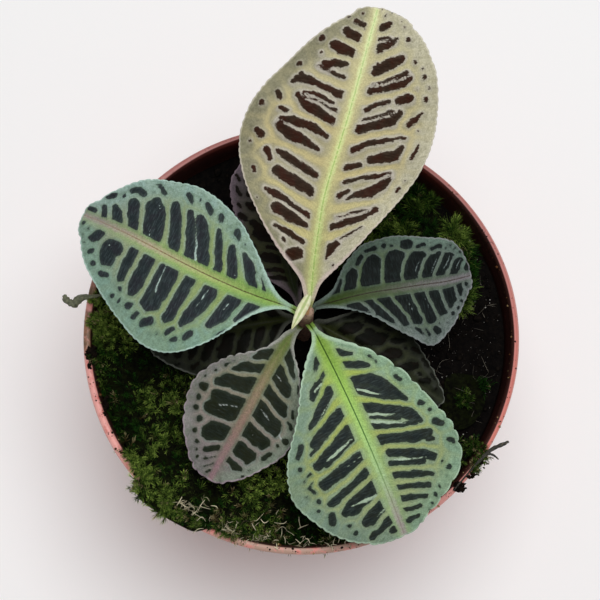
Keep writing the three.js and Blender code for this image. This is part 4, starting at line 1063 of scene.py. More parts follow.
def makePot():
    p = pot
    floorTop = p["recess"] + p["wall"]
    footInner = p["baseRadius"] - p["footWidth"]
    lip = p["rimWidth"] / 2
    outer = rounded([(0, 0), (p["padRadius"] - 0.5, 0)], 3) + [(p["padRadius"], 0.3)]
    outer += rounded([(p["padRadius"] + 1.3, p["recess"]), (footInner - 1.5, p["recess"])], 3)
    outer += [(footInner - 0.1, 0.35), (footInner + 0.4, 0), (p["baseRadius"] - 0.9, 0)]
    outer += arc((p["baseRadius"] - 0.8, 0.8), 0.8, -75, -5, 4)
    outer += rounded([(bodyRadius(1.2), 1.2), (bodyRadius(collarFoot - 0.5), collarFoot - 0.5)], 6)
    outer += [(bodyTop + 0.3, collarFoot - 0.1), (bodyTop + 1.6, collarFoot + 0.2)]
    outer += arc((p["rimRadius"] - p["collarFlare"] - 0.5, collarFoot + 0.8), 0.55, -70, 0, 4)
    outer += rounded([(p["rimRadius"] - 1, collarFoot + 2), (p["rimRadius"] - 0.12, p["height"] - 3)], 3)
    outer += arc((p["rimRadius"] - lip, p["height"] - lip), lip, -10, 185, 12)
    inner = rounded([(float(innerRadius(p["height"] - 2.5)), p["height"] - 2.5),
                     (float(innerRadius(collarFoot + 2)), collarFoot + 2)], 3)
    inner += [(bodyTop - 0.6, collarFoot + 0.9), (bodyTop - p["wall"], collarFoot - 0.4)]
    inner += rounded([(float(innerRadius(collarFoot - 2)), collarFoot - 2),
                      (float(innerRadius(floorTop)), floorTop)], 8)
    inner += rounded([(p["baseRadius"] - 5, floorTop), (0, floorTop)], 6)
    points, faces = turned(outer + inner, p["segments"])
    # a thin moulded wall is never quite round
    angle = np.arctan2(points[:, 1], points[:, 0])
    high = smoothstep(0, p["height"], points[:, 2])
    sway = 1 + high * (0.0025 * np.sin(2 * angle + 0.6) + 0.0012 * np.sin(5 * angle + 1))
    points[:, :2] *= sway[:, None]
    piece = meshPiece("pot_shell", points, faces, None, [potMaterial()])

    drills, drillFaces = [], []
    for k in range(p["drainCount"]):
        a = k / p["drainCount"] * 2 * math.pi
        centre = np.array([math.cos(a), math.sin(a), 0]) * p["drainCircle"]
        profile = [(r, p["drillFoot"]) for r in (0, p["drainRadius"])]
        profile += [(r, p["drillTop"]) for r in (p["drainRadius"], 0)]
        drill, fans = turned(profile, p["drillSegments"])
        drillFaces += [part + sum(len(d) for d in drills) for part in fans]
        drills.append(drill + centre)
    cutter = meshPiece("drill", np.concatenate(drills), drillFaces, None, [])
    cut = piece.modifiers.new("drain", "BOOLEAN")
    cut.object, cut.operation, cut.solver = cutter, "DIFFERENCE", "EXACT"
    bpy.context.view_layer.update()
    shaped = piece.evaluated_get(bpy.context.evaluated_depsgraph_get())
    mesh = bpy.data.meshes.new_from_object(shaped)
    piece.modifiers.clear()
    piece.data = mesh
    bpy.data.objects.remove(cutter)
    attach(piece, "root")
    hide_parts("pot")


def potMaterial():
    material, tree = newMaterial("terracottaPlastic")
    place = objectPlace(tree)
    x, y, z = separated(place)
    radius = maths("SQRT", x * x + y * y)
    broad = noise(place, 30.0, 3.0)
    fine = noise(place, 420.0, 4.0, 0.65)
    plastic = blend(ramp(broad, 0.35, 0.65), "cd7264", "c26056")
    # salts and sun have bleached the lip in pale patches, and algae has crept over it on the left;
    # on the left and front the paler lip is partly a painted highlight
    high = ramp(z, 0.088, 0.0952)
    leftAndFront = most(ramp(x, 0.0, -0.045), ramp(y, -0.03, -0.05))
    pale = high * ramp(fine, 0.25, 0.55)
    bleachAndHighlight = pale * (0.12 + leftAndFront * 0.72)
    bleachedAndHighlighted = blend(bleachAndHighlight, plastic, "ecaaa2")
    # the top of the lip is darker towards the back
    dull = ramp(y, -0.035, 0.045) * high
    dulled = blend(dull * 0.85, bleachedAndHighlighted, "98605c")
    # a painted highlight runs round the lip's outer edge
    rimEdgeHighlight = ramp(radius, 0.0597, 0.0601) * high
    edge = blend(rimEdgeHighlight * 0.45, dulled, "e2aca4")
    tan = ramp(y, -0.0535, -0.0575) * ramp(fine, 0.35, 0.55)
    edged = blend(tan * high * 0.75, edge, "9c8a76")
    left = ramp(x, -0.045, -0.054) * ramp(y, 0.018, 0.011)
    away = abs(y - 0.0076)
    clean = ramp(away + fine * 0.003, 0.0026, 0.0042)
    clean = most(clean, 1.0 - high)
    stretch = clean * ramp(y, -0.0075, -0.004)
    patchy = ramp(noise(place, 240.0, 5.0, 0.8), 0.3, 0.46)
    creep = ramp(z + broad * 0.012, 0.085, 0.099)
    algae = left * stretch * (patchy * creep)
    scum = blend(ramp(fine, 0.4, 0.6), "846044", "4c4222")
    stained = blend(algae * 0.88, edged, scum)
    scratchPlace = stretched(place, (1.0, 1.0, 9.0))
    scratch = noise(scratchPlace, 260.0, 3.0, 0.6)
    scuffed = blend(ramp(scratch, 0.6, 0.72) * 0.25, stained, "e3ada0")
    # the inner face lies within the middle of the wall, which steps out at the collar's foot
    ragged = radius + broad * 0.0004
    wallAt = lambda low, high, fromRadius, toRadius: worked("ShaderNodeMapRange", {
        "Value": z, "From Min": low, "From Max": high, "To Min": fromRadius, "To Max": toRadius})
    lipInner = wallAt(0.081, 0.095, 0.058, 0.0591) - leftAndFront * 0.0005
    inCollar = ramp(ragged - lipInner, 0.0002, -0.0001)
    inCollar = inCollar * ramp(z, 0.0811, 0.0814)
    inBody = ramp(radius - wallAt(0.0, 0.081, 0.04225, 0.05585), 0.0002, -0.0002)
    inside = most(inCollar, inBody) * ramp(z, 0.003, 0.006)
    # the inner face of the wall is painted dark as shade, deepest lower down
    # and at the left, front and right, and the inner part of the lip's top is darkened with it
    deeperShade = ramp(z + fine * 0.002, 0.0946, 0.0915)
    shadierSides = most(leftAndFront * 0.9, ramp(x, 0.026, 0.048))
    shadedWallTop = blend(shadierSides, "4c1913", "140a07")
    innerShade = blend(deeperShade, shadedWallTop, "140907")
    shadedInside = blend(inside * 0.96, scuffed, innerShade)
    dust = ramp(noise(place, 900.0, 3.0), 0.62, 0.68)
    specked = blend(dust * (0.35 + ramp(x, 0.03, 0.055) * 0.4), shadedInside, "4a2620")
    shine = 0.4 - inside * 0.32
    return finish(material, specked, fine, (0.38, 0.25), (0.12, 0.0004), shine, fine + scratch)


makePot()
print("pot made")


# Bank tells how high the soil lies against the wall (mm) at angles round the pot (degrees). Crumbs and
# grit are a count, the inner and outer radius and the angles between which they lie.
soil = {
    "edgeHeight": 85.5, "crown": 1.6, "relief": 0.5, "gap": 0.25,
    "bankAngles": (0, 20, 42, 140, 160, 184, 196, 214, 226, 250, 290, 312, 360),
    "bankHeights": (5, 4.5, 0, 0, 5, 5, 1.5, 1.5, 3, 3, 3.5, 5, 5),
    "rings": 130, "segments": 260, "wallTop": 84,
    "crumbs": (2600, 4, 56.2, 0, 360), "grit": (620, 20, 56, -45, 35),
}


def humps(x, y, size, seed):
    u, v = x / size + seed * 2.3, y / size - seed * 1.7
    ridges, troughs = np.sin(v * 1.3), np.sin(u * 1.7 + 2)
    return (np.sin(u * 1.9 + 1.3 * ridges) + np.sin(v * 2.3 + 1.1 * troughs)) / 2


def soilHeight(x, y):
    radius = np.hypot(x, y)
    share = radius / float(innerRadius(soil["edgeHeight"]))
    turn = np.degrees(np.arctan2(y, x)) % 360
    bank = np.interp(turn, soil["bankAngles"], soil["bankHeights"]) * smoothstep(46, 57.5, radius)
    crown = soil["crown"] * (1 - share * share)
    return soil["edgeHeight"] + bank + crown + soil["relief"] * humps(x, y, 9, 4)


def crumbly(x, y):
    return 0.9 * roughNoise(x, y, 3.2, 5) + 0.5 * np.abs(roughNoise(x, y, 1.1, 6))


def makeSoil():
    top = float(innerRadius(soil["edgeHeight"])) - soil["gap"]
    radii = np.linspace(0, top, soil["rings"])[1:]
    profile = [(0, soil["edgeHeight"])] + [(r, soil["edgeHeight"]) for r in radii]
    floor = pot["recess"] + pot["wall"] + soil["gap"]
    wall = rounded([(bodyTop - pot["wall"] - soil["gap"], collarFoot),
                    (float(innerRadius(floor)) - soil["gap"] - 0.3, floor)], 8)
    profile += [(float(innerRadius(soil["wallTop"])) - soil["gap"], soil["wallTop"])] + wall
    profile += [(30, floor), (0, floor)]
    points, faces = turned(profile[::-1], soil["segments"])
    onTop = points[:, 2] > soil["edgeHeight"] - 0.01
    x, y = points[:, 0], points[:, 1]
    edge = smoothstep(top, top - 3, np.hypot(x, y))
    shaped = soilHeight(x, y) + crumbly(x, y) * (0.3 + 0.7 * edge) - 0.5
    points[:, 2] = np.where(onTop, shaped, points[:, 2])
    # the soil's colours are darker than peat's own, as painted shade under the leaves
    piece = meshPiece("soil_bed", points, faces, None, [soilMaterial("peatMixAndShade", "100d0b", "060505")])
    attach(piece, "root")
    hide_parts("soil")


def soilMaterial(name, light, dark):
    material, tree = newMaterial(name)
    place = objectPlace(tree)
    clods = noise(place, 700.0, 5.0, 0.7)
    fibres = noise(stretched(place, (1.0, 0.25, 1.0)), 1500.0, 3.0, 0.6)
    earth = blend(ramp(clods, 0.35, 0.7), dark, light)
    fibrous = blend(ramp(fibres, 0.62, 0.72) * 0.5, earth, "1e1610")
    return finish(material, fibrous, clods, (0.75, 0.25), (0.7, 0.0008), 0.04)


# A round lump: an icosahedron.
def lumpShape():
    mesh = bpy.data.meshes.new("lump")
    build = bmesh.new()
    bmesh.ops.create_icosphere(build, subdivisions=1, radius=1)
    build.to_mesh(mesh)
    build.free()
    points = np.array([v.co for v in mesh.vertices])
    faces = np.array([p.vertices for p in mesh.polygons])
    bpy.data.meshes.remove(mesh)
    return points, faces


# Many small lumps in one mesh.
def lumpsPiece(name, centres, sizes, material, seed, flat=0.75, long=1.0):
    draw = np.random.RandomState(seed)
    shape, faces = lumpShape()
    allPoints, allFaces, tones = [], [], []
    for k, (centre, size) in enumerate(zip(centres, sizes)):
        turn = Matrix.Rotation(draw.uniform(0, 2 * math.pi), 3, "Z")
        turn = turn @ Matrix.Rotation(draw.normal(0, 0.5), 3, "X")
        lumpy = shape * (1 + draw.uniform(-0.28, 0.28, (len(shape), 1)))
        scaled = lumpy * np.array([long, 1, flat]) * size
        allPoints.append(scaled @ np.array(turn).T + centre)
        allFaces.append(faces + k * len(shape))
        tones.append(np.full(len(shape), draw.rand()))
    piece = meshPiece(name, np.concatenate(allPoints), [np.concatenate(allFaces)], None, [material],
                      floats={"tone": np.concatenate(tones)})
    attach(piece, "root")


def scatterInPot(draw, count, inner, outer, fromAngle, toAngle):
    angle = np.radians(draw.uniform(fromAngle, toAngle, count))
    radius = np.sqrt(draw.uniform(inner ** 2, outer ** 2, count))
    return radius * np.cos(angle), radius * np.sin(angle)


def makeCrumbs():
    draw = np.random.RandomState(7)
    x, y = scatterInPot(draw, *soil["crumbs"])
    size = draw.gamma(2.2, 0.16, len(x)).clip(0.15, 1.3)
    z = soilHeight(x, y) + crumbly(x, y) - 0.5 + size * 0.3
    # the crumbs' colours are darker than peat's own, as painted shade
    peat = soilMaterial("peatCrumbsAndShade", "191410", "080706")
    lumpsPiece("soil_crumbs", np.stack([x, y, z], -1), size, peat, 8)

    x, y = scatterInPot(draw, *soil["grit"])
    size = draw.gamma(2.0, 0.045, len(x)).clip(0.04, 0.3)
    z = soilHeight(x, y) + crumbly(x, y) * 0.8 - 0.3 + size
    lumpsPiece("soil_grit", np.stack([x, y, z], -1), size, gritMaterial(), 9)


def gritMaterial():
    material, tree = newMaterial("paleGrit")
    tone = attribute(tree, "tone")
    veined = noise(objectPlace(tree), 2500.0, 3.0)
    mixed = blend(ramp(tone, 0.35, 1.0), "2e2b28", "a9a69e")
    colour = blend(veined * 0.5, mixed, "57534c")
    return finish(material, colour, veined, (0.6, 0.3), (0.4, 0.0002))


makeSoil()
makeCrumbs()
print("soil made")


# Dim, dry and bare hold places (x, y, radius) where the moss is thin and shaded, dead and pale, or missing.
# Tone sets how light a patch's moss is; the back patch's is low as painted shade under the leaves.
mossPatches = [
    {
        "name": "moss_front", "from": 158, "to": 325, "inner": 20, "outer": 56.8, "rise": 6.2, "rows": 7,
        "columns": 45, "seed": 1, "shoots": 4900, "leaflets": 13, "long": (1.1, 2.2), "wide": 0.13,
        "tone": 0.5,
        "bed": 1, "outerEnds": 0.06, "wild": 0.7, "bare": (),
        "dim": ((-52, -12, 8), (-49, -25, 9), (-38, -8, 9), (-36, -36, 5), (2, -53, 7), (-30, -2, 8)),
        "dry": ((-4, -54, 10), (-20, -53, 9), (-30, -48, 4), (16, -52, 8)), "tufts": None,
        "spill": {"from": 216, "to": 251, "wallOnly": 4, "blend": 6, "reach": (64.3, 60.6), "lift": 1.6},
    },
    {
        "name": "moss_back", "from": 10, "to": 80, "inner": 24, "outer": 54, "rise": 5.5, "rows": 6,
        "columns": 18, "seed": 2, "shoots": 2100, "leaflets": 12, "long": (1.6, 3.4), "wide": 0.12,
        "tone": 0.15,
        "bed": 0.6, "outerEnds": 0.35, "wild": 0.8, "bare": ((40, 36.5, 5), (30, 47, 4)),
        "dim": ((36, 30, 6), (52, 18, 6)), "dry": (), "tufts": None, "spill": None,
    },
    {
        "name": "moss_right", "from": -31, "to": -12, "inner": 41, "outer": 54, "rise": 4, "rows": 5,
        "columns": 8, "seed": 3, "shoots": 1800, "leaflets": 12, "long": (0.8, 1.7), "wide": 0.11,
        "tone": -0.4,
        "bed": 0.12, "outerEnds": 0.35, "wild": 0.5, "bare": (),
        "dim": (), "dry": (), "tufts": ((52.6, -12.6, 2.4), (45.6, -17.4, 1.6), (47, -27.5, 1.6)),
        "spill": None,
    },
]
mossLumps = 1.4
mossFine = 5  # bed points a row and column of its patch


# The moss's upper and lower face at places on a patch: column runs round the pot and row outwards.
def mossSurface(patch, column, row):
    turn = column / patch["columns"]
    degrees = lerp(patch["from"], patch["to"], turn)
    angle = np.radians(degrees)
    ends = np.sin(math.pi * np.clip(turn, 0.004, 0.996)) ** 0.35
    wander = 2.4 * humps(column * 1.3, 0, 5, patch["seed"])
    middle = (patch["inner"] + patch["outer"]) / 2
    inner = lerp(middle, patch["inner"] + wander, ends)
    outer = lerp(middle, patch["outer"], np.sin(math.pi * np.clip(turn, 0.004, 0.996)) ** patch["outerEnds"])
    spill = patch["spill"]
    if spill:
        inside = np.minimum(degrees - spill["from"], spill["to"] - degrees)
        climb = smoothstep(-spill["blend"], 0, inside)
        over = smoothstep(spill["wallOnly"], spill["wallOnly"] + spill["blend"], inside)
        reach = lerp(*spill["reach"], (degrees - spill["from"]) / (spill["to"] - spill["from"]))
    else:
        climb = over = reach = degrees * 0
    rimTop = pot["height"] + 0.35  # just clear of the rim
    inward = np.minimum(row / patch["rows"], 1)
    wallStep = np.clip(row - patch["rows"], 0, 1)
    overStep = np.clip(row - patch["rows"] - 1, 0, 1)
    radius = lerp(inner, outer, inward) + wallStep * lerp(0.1, 0.7, climb)
    radius = lerp(radius, lerp(radius + 0.2, reach, over), overStep)
    x, y = radius * np.cos(angle), radius * np.sin(angle)
    ground = soilHeight(x, y) + 0.6
    low = lerp(ground, rimTop, climb * wallStep)
    lowerAtWall = 1 - 0.5 * (1 - climb) * smoothstep(0.75, 1, inward)
    full = smoothstep(0, 0.25, inward) * lowerAtWall * (0.3 + 0.7 * ends)
    lump = mossLumps * humps(x, y, 6, patch["seed"])
    cushion = ground + 0.6 + (patch["rise"] + lump) * full
    overRim = rimTop + (spill["lift"] if spill else 0) + 0.5 * lump
    rising = climb * smoothstep(0.5, 1, inward)
    high = lerp(cushion, np.maximum(cushion, overRim), rising)
    lip = lerp(1, 0.4, overStep)
    return x, y, low, low + np.maximum((high - low) * lip, 0.5)


def makeMossBed(patch):
    columns, rows = patch["columns"] * mossFine + 1, (patch["rows"] + 2) * mossFine + 1
    column, row = np.meshgrid(np.linspace(0, patch["columns"], columns),
                              np.linspace(0, patch["rows"] + 2, rows), indexing="ij")
    x, y, low, high = mossSurface(patch, column, row)
    rough = 1.1 * roughNoise(x, y, 2.4, patch["seed"] + 20) - 1.5
    high = np.maximum(low + (high - low) * patch["bed"] + rough, low + 0.25)
    points = np.concatenate([np.stack([x, y, z], -1).reshape(-1, 3) for z in (high, low - 0.3)])
    piece = meshPiece(patch["name"] + "_bed", points, sheetFaces(columns, rows, True), None, [shadedMossBed])
    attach(piece, "root")
    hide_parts(patch["name"])


# How near each point is to the closest of some places (x, y, radius): 1 at its middle and 0 outside it.
def nearness(places, x, y):
    near = np.zeros(np.shape(x))
    for centreX, centreY, radius in places:
        near = np.maximum(near, smoothstep(1.25, 0.5, np.hypot(x - centreX, y - centreY) / radius))
    return near


# A shoot like a small bottle brush: slim pointed leaflets in a spiral round a short stem. Returns its
# points, four a leaflet, and the tone, nearness to a tip and dryness of each.
def mossShoot(draw, look, root, lean, height, tone, dry):
    leaflets = look["leaflets"]
    step = np.arange(leaflets)
    share = (step + 1) / leaflets
    axis = np.array([lean[0], lean[1], 1.0])
    axis /= np.linalg.norm(axis)
    side = np.cross(axis, [1, 0, 0])
    side /= np.linalg.norm(side)
    front = np.cross(axis, side)
    spin = step * 2.4 + draw.uniform(0, 6.28)
    out = side * np.cos(spin)[:, None] + front * np.sin(spin)[:, None]
    across = front * np.cos(spin)[:, None] - side * np.sin(spin)[:, None]
    rise = (lerp(0.5, 1.3, share ** 1.2) + draw.normal(0, 0.2, leaflets))[:, None]
    way = axis * np.sin(rise) + out * np.cos(rise)
    long = draw.uniform(*look["long"]) * (1.15 - 0.45 * share) * draw.uniform(0.75, 1.2, leaflets)
    foot = root + axis * (height * (0.1 + 0.9 * share))[:, None]
    wide = look["wide"]
    below = np.cross(way, across)
    tip = foot + (way + axis * 0.2) * long[:, None]
    ring = [foot + across * wide, foot - across * wide, foot + below * wide * 0.8]
    bright = np.tile([0.0, 0.0, 0.0, 1.0], leaflets) * np.repeat(0.15 + 0.85 * share, 4)
    shades = np.stack([np.full(leaflets * 4, tone), bright, np.full(leaflets * 4, dry)], -1)
    return np.stack(ring + [tip], 1).reshape(-1, 3), shades


def shootsPiece(name, shoots):
    points = np.concatenate([shoot[0] for shoot in shoots])
    spikes = np.arange(len(points) // 4)[:, None, None] * 4
    faces = (spikes + np.array([[0, 1, 3], [1, 2, 3], [2, 0, 3], [0, 2, 1]])).reshape(-1, 3)
    piece = meshPiece(name, points, [faces], None, [mossGreen],
                      vectors={"shoot": np.concatenate([shoot[1] for shoot in shoots])}, smooth=False)
    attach(piece, "root")


def makeMossShoots(patch, part, parts):
    draw = np.random.RandomState(patch["seed"] * 10 + part)
    count = patch["shoots"] // parts
    rows = patch["rows"]
    column = draw.uniform(0.2, patch["columns"] - 0.2, count)
    row = (rows + 2) * draw.uniform(0.02, 1, count) ** 0.75
    x, y, low, high = mossSurface(patch, column, row)
    high = low + (high - low) * (patch["bed"] + 1) / 2
    clump = roughNoise(x, y, 6, patch["seed"] + 30)
    dim, dead = nearness(patch["dim"], x, y), nearness(patch["dry"], x, y)
    sparse = np.maximum(0.75 * smoothstep(0.15, -0.45, clump), 0.6 * dim)
    sparse = np.maximum(sparse, 1.1 * nearness(patch["bare"], x, y))
    if patch["tufts"]:
        sparse = 1.2 - 1.2 * nearness(patch["tufts"], x, y)
    keep = draw.rand(count) > sparse
    outwards = np.stack([x, y], -1) / np.hypot(x, y)[:, None]
    outwards = outwards * smoothstep(rows + 0.8, rows + 2, row)[:, None]
    shoots = []
    for k in np.flatnonzero(keep):
        height = draw.uniform(1.9, 4.4) * (0.85 + 0.35 * clump[k])
        root = np.array([x[k], y[k], max(high[k] - 1.9 - draw.uniform(0, 0.9), low[k] - 0.1)])
        lean = draw.normal(0, patch["wild"], 2) + 0.5 * outwards[k]
        # moss is painted darker as shade in the hollows between clumps and in dim places
        tone = patch["tone"] + 0.9 * clump[k] - 0.65 * dim[k] - 0.5 * dead[k]
        tone = np.clip(tone + draw.normal(0, 0.18), 0, 1)
        dry = np.clip(draw.normal(0.9, 0.2), 0.3, 1) * float(draw.rand() < 0.03 + 0.14 * dead[k])
        shoots.append(mossShoot(draw, patch, root, lean, height, tone, dry))
    shootsPiece(patch["name"] + "_shoots" + (str(part + 1) if parts > 1 else ""), shoots)


# Tufts beside the patches: place, radius, how many shoots and their tone. Past rimFrom they lie on the rim.
mossTufts = {
    "leaflets": 12, "long": (0.8, 1.7), "wide": 0.11, "rimFrom": 57.4, "overRim": 97.3,
    "tufts": ((47.6, -30.6, 1.8, 60, 0.1), (49.6, -34, 1.2, 36, 0.2), (47.4, -36.6, 1.2, 40, 0.15),
              (-44.6, -41.6, 1.7, 70, 0.5), (-41, -44.6, 1.7, 70, 0.4), (-37, -47.2, 1.7, 70, 0.5),
              (-33, -49.6, 1.6, 70, 0.3), (-28.6, -51.9, 1.6, 60, 0.3), (-57.6, 3, 1.5, 44, 0.5),
              (-57.4, 9, 1.2, 34, 0.6), (-56.4, -8, 1.6, 40, 0.1)),
}


def makeMossTufts():
    draw = np.random.RandomState(77)
    shoots = []
    for centreX, centreY, radius, count, tone in mossTufts["tufts"]:
        for k in range(count):
            x, y = (centreX, centreY) + draw.normal(0, 0.5, 2) * radius
            over = math.hypot(x, y) - mossTufts["rimFrom"]
            z = min(float(soilHeight(x, y)) + 0.6, pot["height"] - 0.4)
            z = min(pot["height"], mossTufts["overRim"] - over) if over > 0 else z
            shade = np.clip(tone + draw.normal(0, 0.2), 0, 1)
            dry = float(draw.rand() < 0.12)
            lean = draw.normal(0, 0.8, 2)
            height = draw.uniform(0.6, 1.3) if over > 0 else draw.uniform(1.4, 3)
            shoots.append(mossShoot(draw, mossTufts, np.array([x, y, z]), lean, height, shade, dry))
    shootsPiece("moss_tufts", shoots)


# Shoot holds each moss point's tone, how near a leaflet's tip it is, and whether the shoot is dry.
def mossMaterial():
    material, tree = newMaterial("mossShoots")
    tone, tip, dry = separated(attribute(tree, "shoot", "Vector"))
    place = objectPlace(tree)
    patchy = noise(place, 110.0, 4.0)
    # leaflets are painted darker towards their bases, partly as shade within the cushion
    shade = blend(tone, "071003", "284410")
    tips = blend(tone, "285618", "d2f072")
    green = blend(ramp(tip, 0.0, 0.9), shade, tips)
    patched = blend(ramp(patchy, 0.5, 0.7) * 0.3, green, "2c4412")
    straw = blend(ramp(tip, 0.0, 0.9), "3c3018", "cabc8c")
    dried = blend(dry, patched, straw)
    grain = noise(place, 1800.0, 2.0)
    return finish(material, dried, grain, (0.55, 0.3), (0.4, 0.0004), 0.05)


# Old brown moss and peat under the living shoots, painted near black as the shade in the gaps between them.
def mossBedMaterial():
    material, tree = newMaterial("shadedMossBed")
    place = objectPlace(tree)
    tangle = noise(place, 900.0, 5.0, 0.7)
    dead = blend(ramp(tangle, 0.4, 0.65), "080805", "161a0a")
    mixed = blend(ramp(noise(place, 260.0, 3.0), 0.5, 0.7), dead, "101405")
    return finish(material, mixed, tangle, (0.7, 0.3), (0.8, 0.001), 0.03)


mossGreen = mossMaterial()
shadedMossBed = mossBedMaterial()
for patch in mossPatches:
    makeMossBed(patch)
    parts = 2 if patch["shoots"] > 2000 else 1
    for part in range(parts):
        makeMossShoots(patch, part, parts)
makeMossTufts()
print("moss made")


def tubeMesh(path, radii, sides, bump=0.0, seed=1):
    path = np.array(path, float)
    tangent = np.gradient(path, axis=0)
    tangent /= np.linalg.norm(tangent, axis=1)[:, None]
    reference = np.array([0.0, 1, 0]) if abs(tangent[0][1]) < 0.8 else np.array([1.0, 0, 0])
    side = np.cross(tangent, reference)
    side /= np.linalg.norm(side, axis=1)[:, None]
    up = np.cross(side, tangent)
    angle = np.arange(sides) / sides * 2 * math.pi
    ringShare = np.arange(len(path))
    a, r = np.meshgrid(angle, ringShare)
    uneven = 1 + bump * softNoise(np.cos(a) * 2 + 5 * seed, np.sin(a) * 2 + r * 0.5, 1, seed)
    radius = np.interp(np.linspace(0, 1, len(path)), np.linspace(0, 1, len(radii)), radii)[:, None] * uneven
    points = path[:, None] + side[:, None] * (np.cos(a) * radius)[..., None]
    points = points + up[:, None] * (np.sin(a) * radius)[..., None]
    points = np.concatenate([points.reshape(-1, 3), path[:1], path[-1:]])
    return points, tubeFaces(len(path), sides)


def smoothPath(points, count):
    points = np.array(points, float)
    t = np.linspace(0, len(points) - 1, count)
    i = np.clip(t.astype(int), 0, len(points) - 2)
    s = (t - i)[:, None]
    before, a = points[np.maximum(i - 1, 0)], points[i]
    b, after = points[i + 1], points[np.minimum(i + 2, len(points) - 1)]
    return 0.5 * (2 * a + (b - before) * s + (2 * before - 5 * a + 4 * b - after) * s ** 2
                  + (3 * a - before - 3 * b + after) * s ** 3)


def tubesPiece(name, tubes, material, tones=None):
    points, quads, fans, shades, offset = [], [], [], [], 0
    for k, (p, (q, f)) in enumerate(tubes):
        points.append(p)
        quads.append(q + offset)
        fans.append(f + offset)
        shades.append(np.full(len(p), tones[k] if tones is not None else 0.5))
        offset += len(p)
    faces = [np.concatenate(quads), np.concatenate(fans)]
    piece = meshPiece(name, np.concatenate(points), faces, None, [material],
                      floats={"tone": np.concatenate(shades)})
    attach(piece, "root")
    return piece


def barkMaterial(name, dark, light, tip):
    material, tree = newMaterial(name)
    place = objectPlace(tree)
    z = separated(place)[2]
    scurf = noise(stretched(place, (1.0, 1.0, 0.6)), 1500.0, 4.0, 0.7)
    skin = blend(ramp(scurf, 0.35, 0.65), dark, light)
    tipped = blend(ramp(z, 0.11, 0.117) * ramp(scurf, 0.3, 0.5), skin, tip)
    flaked = blend(ramp(scurf, 0.62, 0.7) * 0.5, tipped, "c4a894")
    return finish(material, flaked, scurf, (0.6, 0.3), (0.6, 0.0004))


def makeStem():
    heights = np.linspace(stem["foot"][2], stem["top"][2], stem["rings"])
    path = np.array([stemAxis(z) for z in heights])
    share = np.linspace(0, 1, stem["rings"])
    swell = sum(np.exp(-((heights - leaf["root"]) / 1.4) ** 2) for leaf in leaves).clip(0, 1)
    scars = 0.12 * np.sin(heights * 2.9) ** 8
    radii = lerp(stem["footRadius"], stem["topRadius"], share) + (0.35 - 0.25 * share) * swell + scars
    past = share - stem["roundFrom"]
    radii = radii * np.where(past > 0, np.sqrt(np.clip(1 - (past / 0.033) ** 2, 0.02, 1)), 1)
    piece = tubesPiece("stem_bark", [tubeMesh(path, radii, stem["sides"], 0.06, 3)],
                       barkMaterial("stemBark", "4a2f25", "7a5646", "b4937f"))
    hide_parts("stem")


furled = {"stalkFoot": (0.2, 1.6, 118.9), "base": (0.7, 5, 124), "tip": (-3.9, -4.5, 128.5),
          "width": 2.7, "depth": 1.9, "rows": 60, "around": 48}


def makeFurled():
    foot, base, tip = (np.array(furled[k], float) for k in ("stalkFoot", "base", "tip"))
    axis = tip - base
    length = np.linalg.norm(axis)
    axis /= length
    side = np.cross(axis, [0, 0, 1])
    side /= np.linalg.norm(side)
    up = np.cross(side, axis)
    rows, around = furled["rows"], furled["around"]
    along = np.linspace(0, 1, rows)
    full = np.sin(math.pi * (0.16 + 0.82 * along ** 0.85)) ** 0.8
    angle = np.arange(around) / around * 2 * math.pi
    a, f = np.meshgrid(angle, full)
    groove = 1 - 0.5 * np.exp(-((a - math.pi / 2) / 0.3) ** 2)
    ripple = 1 + 0.04 * softNoise(a * 3, along[:, None] * 20 + a * 0, 1, 9)
    points = (base + axis * (length * along)[:, None])[:, None]
    points = points + side * (0.5 * furled["width"] * f * np.cos(a) * ripple)[..., None]
    points = points + up * (0.5 * furled["depth"] * f * np.sin(a) * groove * ripple)[..., None]
    points = np.concatenate([points.reshape(-1, 3), [base - axis * 0.05], [tip + axis * 0.1]])
    flat = np.concatenate([np.abs(a - math.pi / 2).ravel(), [1, 1]])
    alongPoint = np.concatenate([np.repeat(along, around), [0, 1]])
    vectors = {"fold": np.stack([flat, alongPoint, alongPoint * 0], -1)}
    faces = tubeFaces(rows, around, flip=False)
    piece = meshPiece("leaf_furled_blade", points, faces, None, [furledMaterial()], vectors=vectors)
    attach(piece, "root")
    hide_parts("leaf_furled")
    hook = smoothPath([foot - (0, 0, 0.6), lerp(foot, base, 0.5), base + axis * 1.2], 20)
    tubesPiece("leaf_furled_stalk", [tubeMesh(hook, [0.75, 0.65, 0.6], 20, 0.05, 5)],
               barkMaterial("newStalk", "a87a58", "c09a70", "c89868"))


def furledMaterial():
    material, tree = newMaterial("newLeaf")
    away, along = separated(attribute(tree, "fold", "Vector"))[:2]
    mottle = noise(objectPlace(tree), 900.0, 4.0)
    pale = blend(ramp(mottle, 0.35, 0.65), "dfe0bd", "ced0a0")
    lined = blend(ramp(away, 0.35, 0.1) * 0.7, pale, "8fa860")
    tipped = blend(ramp(along, 0.75, 1.0) * 0.5, lined, "a9a36e")
    return finish(material, tipped, mottle, (0.4, 0.2), (0.2, 0.0002), 0.4)


makeStem()
makeFurled()
print("stem made")


